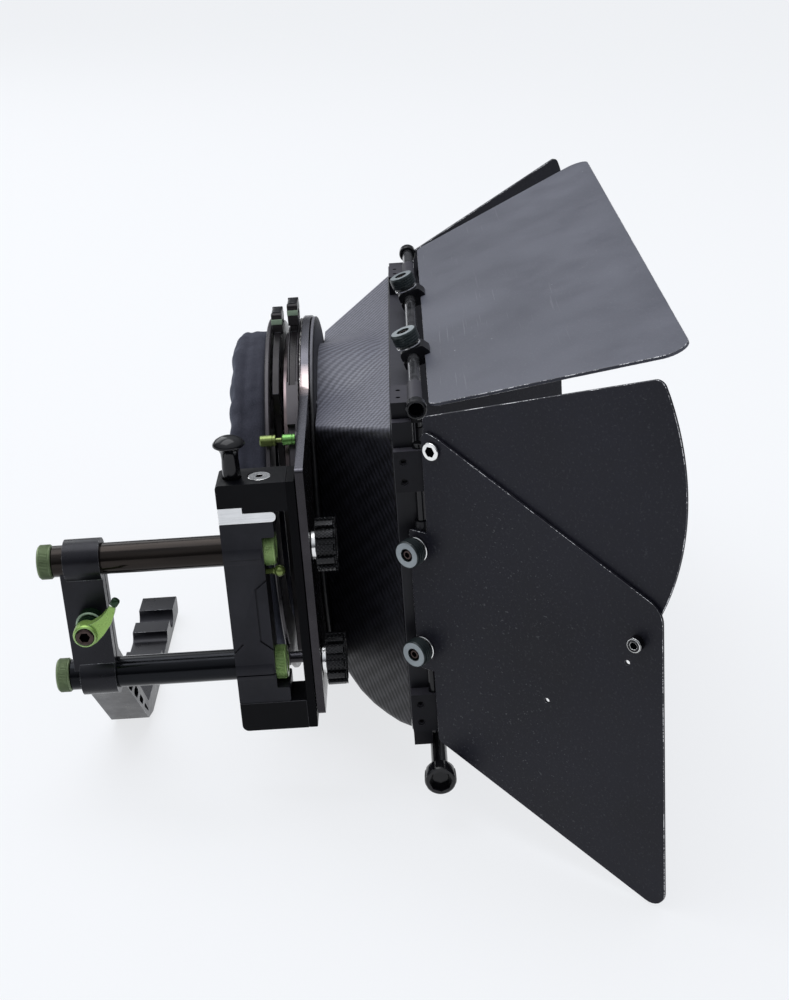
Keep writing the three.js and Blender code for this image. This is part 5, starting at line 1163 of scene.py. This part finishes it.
def make_flag_screws(name, side, place):
    """The fan's pivot bolt with its nut, and the stop pin."""
    flag = f"side_flag_{name}"

    def swept(profile, spot, steps):
        return turned("y", [(side * out, radius) for out, radius in profile], (spot[0], 0, spot[1]), steps)

    across = 4.5
    bolt = swept([
        (1.15, 0), (1.15, 2.0), (HEAD_OUT, 2.0), (HEAD_OUT, 4.2),
        (HEAD_OUT + 1.2, 4.35), (HEAD_OUT + 1.6, 4.0), (HEAD_OUT + 1.6, 0),
    ], FAN_PIVOT, 56)
    bolt = cut(bolt, slab("xz", hexagon(across, FAN_PIVOT), *span(side, HEAD_OUT - 1.6, 9)))
    finished(f"fan_bolt_{name}", bolt, flag, STEEL, f"pivot_bolt_{name}", place, 0.15)
    floor = span(side, HEAD_OUT - 1.5, HEAD_OUT + 1.1)
    socket_shade(f"fan_socket_{name}", "xz", across, FAN_PIVOT, *floor, flag, place)
    nut = swept([(-0.35, 0), (-0.35, 3.1), (0.0, 3.5), (1.15, 3.5), (1.15, 0)], FAN_PIVOT, 48)
    finished(f"fan_nut_{name}", nut, flag, STEEL, (), place)
    across = 3.2
    pin = swept([
        (0.2, 0), (0.2, 1.3), (0.4, 1.5), (HEAD_OUT, 1.5), (HEAD_OUT, 3.3), (HEAD_OUT + 0.3, 3.55),
        (HEAD_OUT + 3.8, 3.55), (HEAD_OUT + 4.2, 3.1), (HEAD_OUT + 4.2, 0),
    ], FAN_STOP, 48)
    pin = cut(pin, slab("xz", hexagon(across, FAN_STOP), *span(side, HEAD_OUT + 1.8, 12)))
    finished(f"stop_screw_{name}", pin, flag, GLOSS_BLACK, f"stop_pin_{name}", place, 0.25, STEEL, 2, 35)
    floor = span(side, HEAD_OUT + 1.9, HEAD_OUT + 3.6)
    socket_shade(f"stop_socket_{name}", "xz", across, FAN_STOP, *floor, flag, place)


def make_side_flags():
    x, y = SIDE_HINGE
    for name, side in SIDES:
        place = Matrix.Translation((x, side * y, 0)) @ Matrix.Rotation(side * math.radians(FLAG_SWING), 4, "Z")
        make_side_sheet(name, side, place)
        make_fan(name, side, place)
        make_flag_screws(name, side, place)


def make_top_flag():
    x, z = TOP_HINGE
    place = Matrix.Translation((x, 0, z)) @ Matrix.Rotation(-math.radians(TOP_FLAG_RISE), 4, "Y")
    outline = fillet([
        (6.0, -139, 3), (9.5, -143.0, 1.5), (121.5, -199, 9), (121.5, 199, 9), (9.5, 143.0, 1.5), (6.0, 139, 3),
    ], 8)
    sheet = slab("xy", outline, -1.7, -0.2)
    finished("top_sheet", sheet, "top_flag", FLAG_PAINT_LIT, "top_flag", place, 0.22, FLAG_EDGE, 1, 35)
    outline = fillet([
        (-5.4, -4.4, 1.2), (6.5, -4.4, 1.2), (8.9, -2.2, 0.3), (8.9, -1.72), (5.8, -1.72),
        (5.8, -0.18), (8.9, -0.18), (8.9, 1.2, 1), (6.4, 5, 2), (-5.4, 5, 2),
    ], 4)
    for name, y in (("near", -62), ("far", 42)):
        jaw = cut(
            slab("xz", outline, y - 6, y + 6),
            drill("y", 3.08, y - 9, y + 9, steps=56), drill("z", STUD_HOLE, 2.9, 9, (0, y, 0), 28),
            block((-9, -2.6), (y - 9, y + 9), (-0.45, 0.45)),
        )
        finished(f"top_jaw_{name}", jaw, "top_flag", BLACK_FINE, (), place, 0.4, EDGE, 2, 35)
        knob = f"top_knob_{name}"
        clamp_knob(f"top_clamp_{name}", knob, place @ local((0, y, 5.35), (0, 0, 1), (1, 0, 0)))
        stud = drill("z", 1.7, 3.4, 6, (0, y, 0), 28)
        finished(f"top_stud_{name}", stud, knob, STEEL, (), place)


make_arm()
make_side_rods()
make_lever()
make_rod_block()
make_knuckles()
make_plunger()
make_ball_screw()
make_height_knobs()
make_mounting_plate()
make_fixed_rings()
make_stages()
make_seal()
make_hood()
make_rim()
make_long_rods()
make_brackets()
make_side_flags()
make_top_flag()


# ---------------------------------------------------------------- camera, floor and light

PHOTO_WIDTH = 789
FOCAL_PIXELS = 1670.2
CAMERA_SPOT = (0.175, -0.8518, 0.441)
CAMERA_ANGLES = (22.714, -1.223, 4.211)


def make_camera():
    """The camera as it was fitted to the photograph."""
    pitch, yaw, roll = (math.radians(angle) for angle in CAMERA_ANGLES)
    forward = Vector((math.sin(yaw) * math.cos(pitch), math.cos(yaw) * math.cos(pitch), -math.sin(pitch)))
    level = Vector((math.cos(yaw), -math.sin(yaw), 0))
    down = forward.cross(level)
    right = math.cos(roll) * level + math.sin(roll) * down
    below = -math.sin(roll) * level + math.cos(roll) * down
    lens = bpy.data.cameras.new("camera")
    lens.sensor_fit = "HORIZONTAL"
    lens.sensor_width = 36
    lens.lens = lens.sensor_width * FOCAL_PIXELS / PHOTO_WIDTH
    lens.clip_start = 0.01
    lens.clip_end = 60
    camera = bpy.data.objects.new("camera", lens)
    turn = Matrix((right, -below, -forward)).transposed().to_4x4()
    camera.matrix_world = Matrix.Translation(CAMERA_SPOT) @ turn
    bpy.context.scene.collection.objects.link(camera)
    bpy.context.scene.camera = camera


def floor_slope():
    """The floor touches the arm's rear edge and the tips of the side flags."""
    arm_low = -0.003
    slope = 0.0
    for name, _ in SIDES:
        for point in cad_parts[f"side_flag_{name}"].data.vertices:
            if point.co.x > 0.1:
                slope = min(slope, (point.co.z - arm_low) / point.co.x)
    return arm_low, slope


def make_floor():
    low, slope = floor_slope()
    shape = bmesh.new()
    bmesh.ops.create_grid(shape, x_segments=1, y_segments=1, size=14)
    mesh = bpy.data.meshes.new("floor")
    shape.to_mesh(mesh)
    shape.free()
    mesh.transform(Matrix.Translation((0, 0, low - 0.0003)) @ Matrix.Rotation(-math.atan(slope), 4, "Y"))
    floor = bpy.data.objects.new("floor", mesh)
    bpy.context.scene.collection.objects.link(floor)
    paper = bpy.data.materials.new("pale paper")
    paper.use_nodes = True
    tree = paper.node_tree
    shader = tree.nodes["Principled BSDF"]
    fill(shader, {"Base Color": (0.8, 0.83, 0.88, 1), "Roughness": 0.9, "Specular IOR Level": 0.1})
    glow = add(tree, "Emission", "Emission", {"Color": (0.955, 0.966, 0.985, 1), "Strength": 1.0})
    rays = tree.nodes.new("ShaderNodeLightPath").outputs
    seen = 0.0
    for kind in ("Is Camera Ray", "Is Glossy Ray", "Is Transmission Ray"):
        seen = add(tree, "Math", "Value", {0: rays[kind], 1: seen}, operation="MAXIMUM")
    share = add(tree, "Math", "Value", {0: seen, 1: 0.78}, operation="MULTIPLY")
    both = add(tree, "MixShader", "Shader", {0: share, 1: shader.outputs["BSDF"], 2: glow})
    fill(tree.nodes["Material Output"], {"Surface": both})
    mesh.materials.append(paper)


def soft_light(name, spot, aim, size, energy):
    lamp = bpy.data.lights.new(name, "AREA")
    lamp.shape = "RECTANGLE"
    lamp.size, lamp.size_y = size
    lamp.energy = energy
    lamp.color = (0.97, 0.985, 1)
    thing = bpy.data.objects.new(name, lamp)
    thing.location = spot
    thing.rotation_euler = (Vector(aim) - Vector(spot)).to_track_quat("-Z", "Y").to_euler()
    bpy.context.scene.collection.objects.link(thing)


def make_light():
    world = bpy.data.worlds.new("studio")
    bpy.context.scene.world = world
    world.use_nodes = True
    tree = world.node_tree
    rise = add(tree, "SeparateXYZ", "Z", {"Vector": add(tree, "TexCoord", "Generated", {})})
    sky = add(tree, "ValToRGB", "Color", {"Fac": rise})
    steps = sky.node.color_ramp.elements
    steps[0].color = (0.07, 0.072, 0.08, 1)
    steps[1].color = (1.15, 1.18, 1.24, 1)
    steps.new(0.3).color = (0.16, 0.165, 0.18, 1)
    steps.new(0.62).color = (0.66, 0.69, 0.73, 1)
    around = tree.nodes["Background"]
    fill(around, {"Color": sky, "Strength": 0.9})
    seen = add(tree, "Background", "Background", {"Color": (0.9, 0.92, 0.95, 1)})
    camera_ray = add(tree, "LightPath", "Is Camera Ray", {})
    both = add(tree, "MixShader", "Shader", {0: camera_ray, 1: around.outputs["Background"], 2: seen})
    fill(tree.nodes["World Output"], {"Surface": both})
    soft_light("top softbox", (-0.1, 0.2, 1.9), (0.12, 0.0, 0.1), (1.6, 1.3), 16)
    soft_light("rear softbox", (-0.9, 1.5, 1.3), (0.1, 0.0, 0.1), (1.4, 1.2), 9)


make_camera()
make_floor()
make_light()
bpy.context.scene.view_settings.view_transform = "Standard"
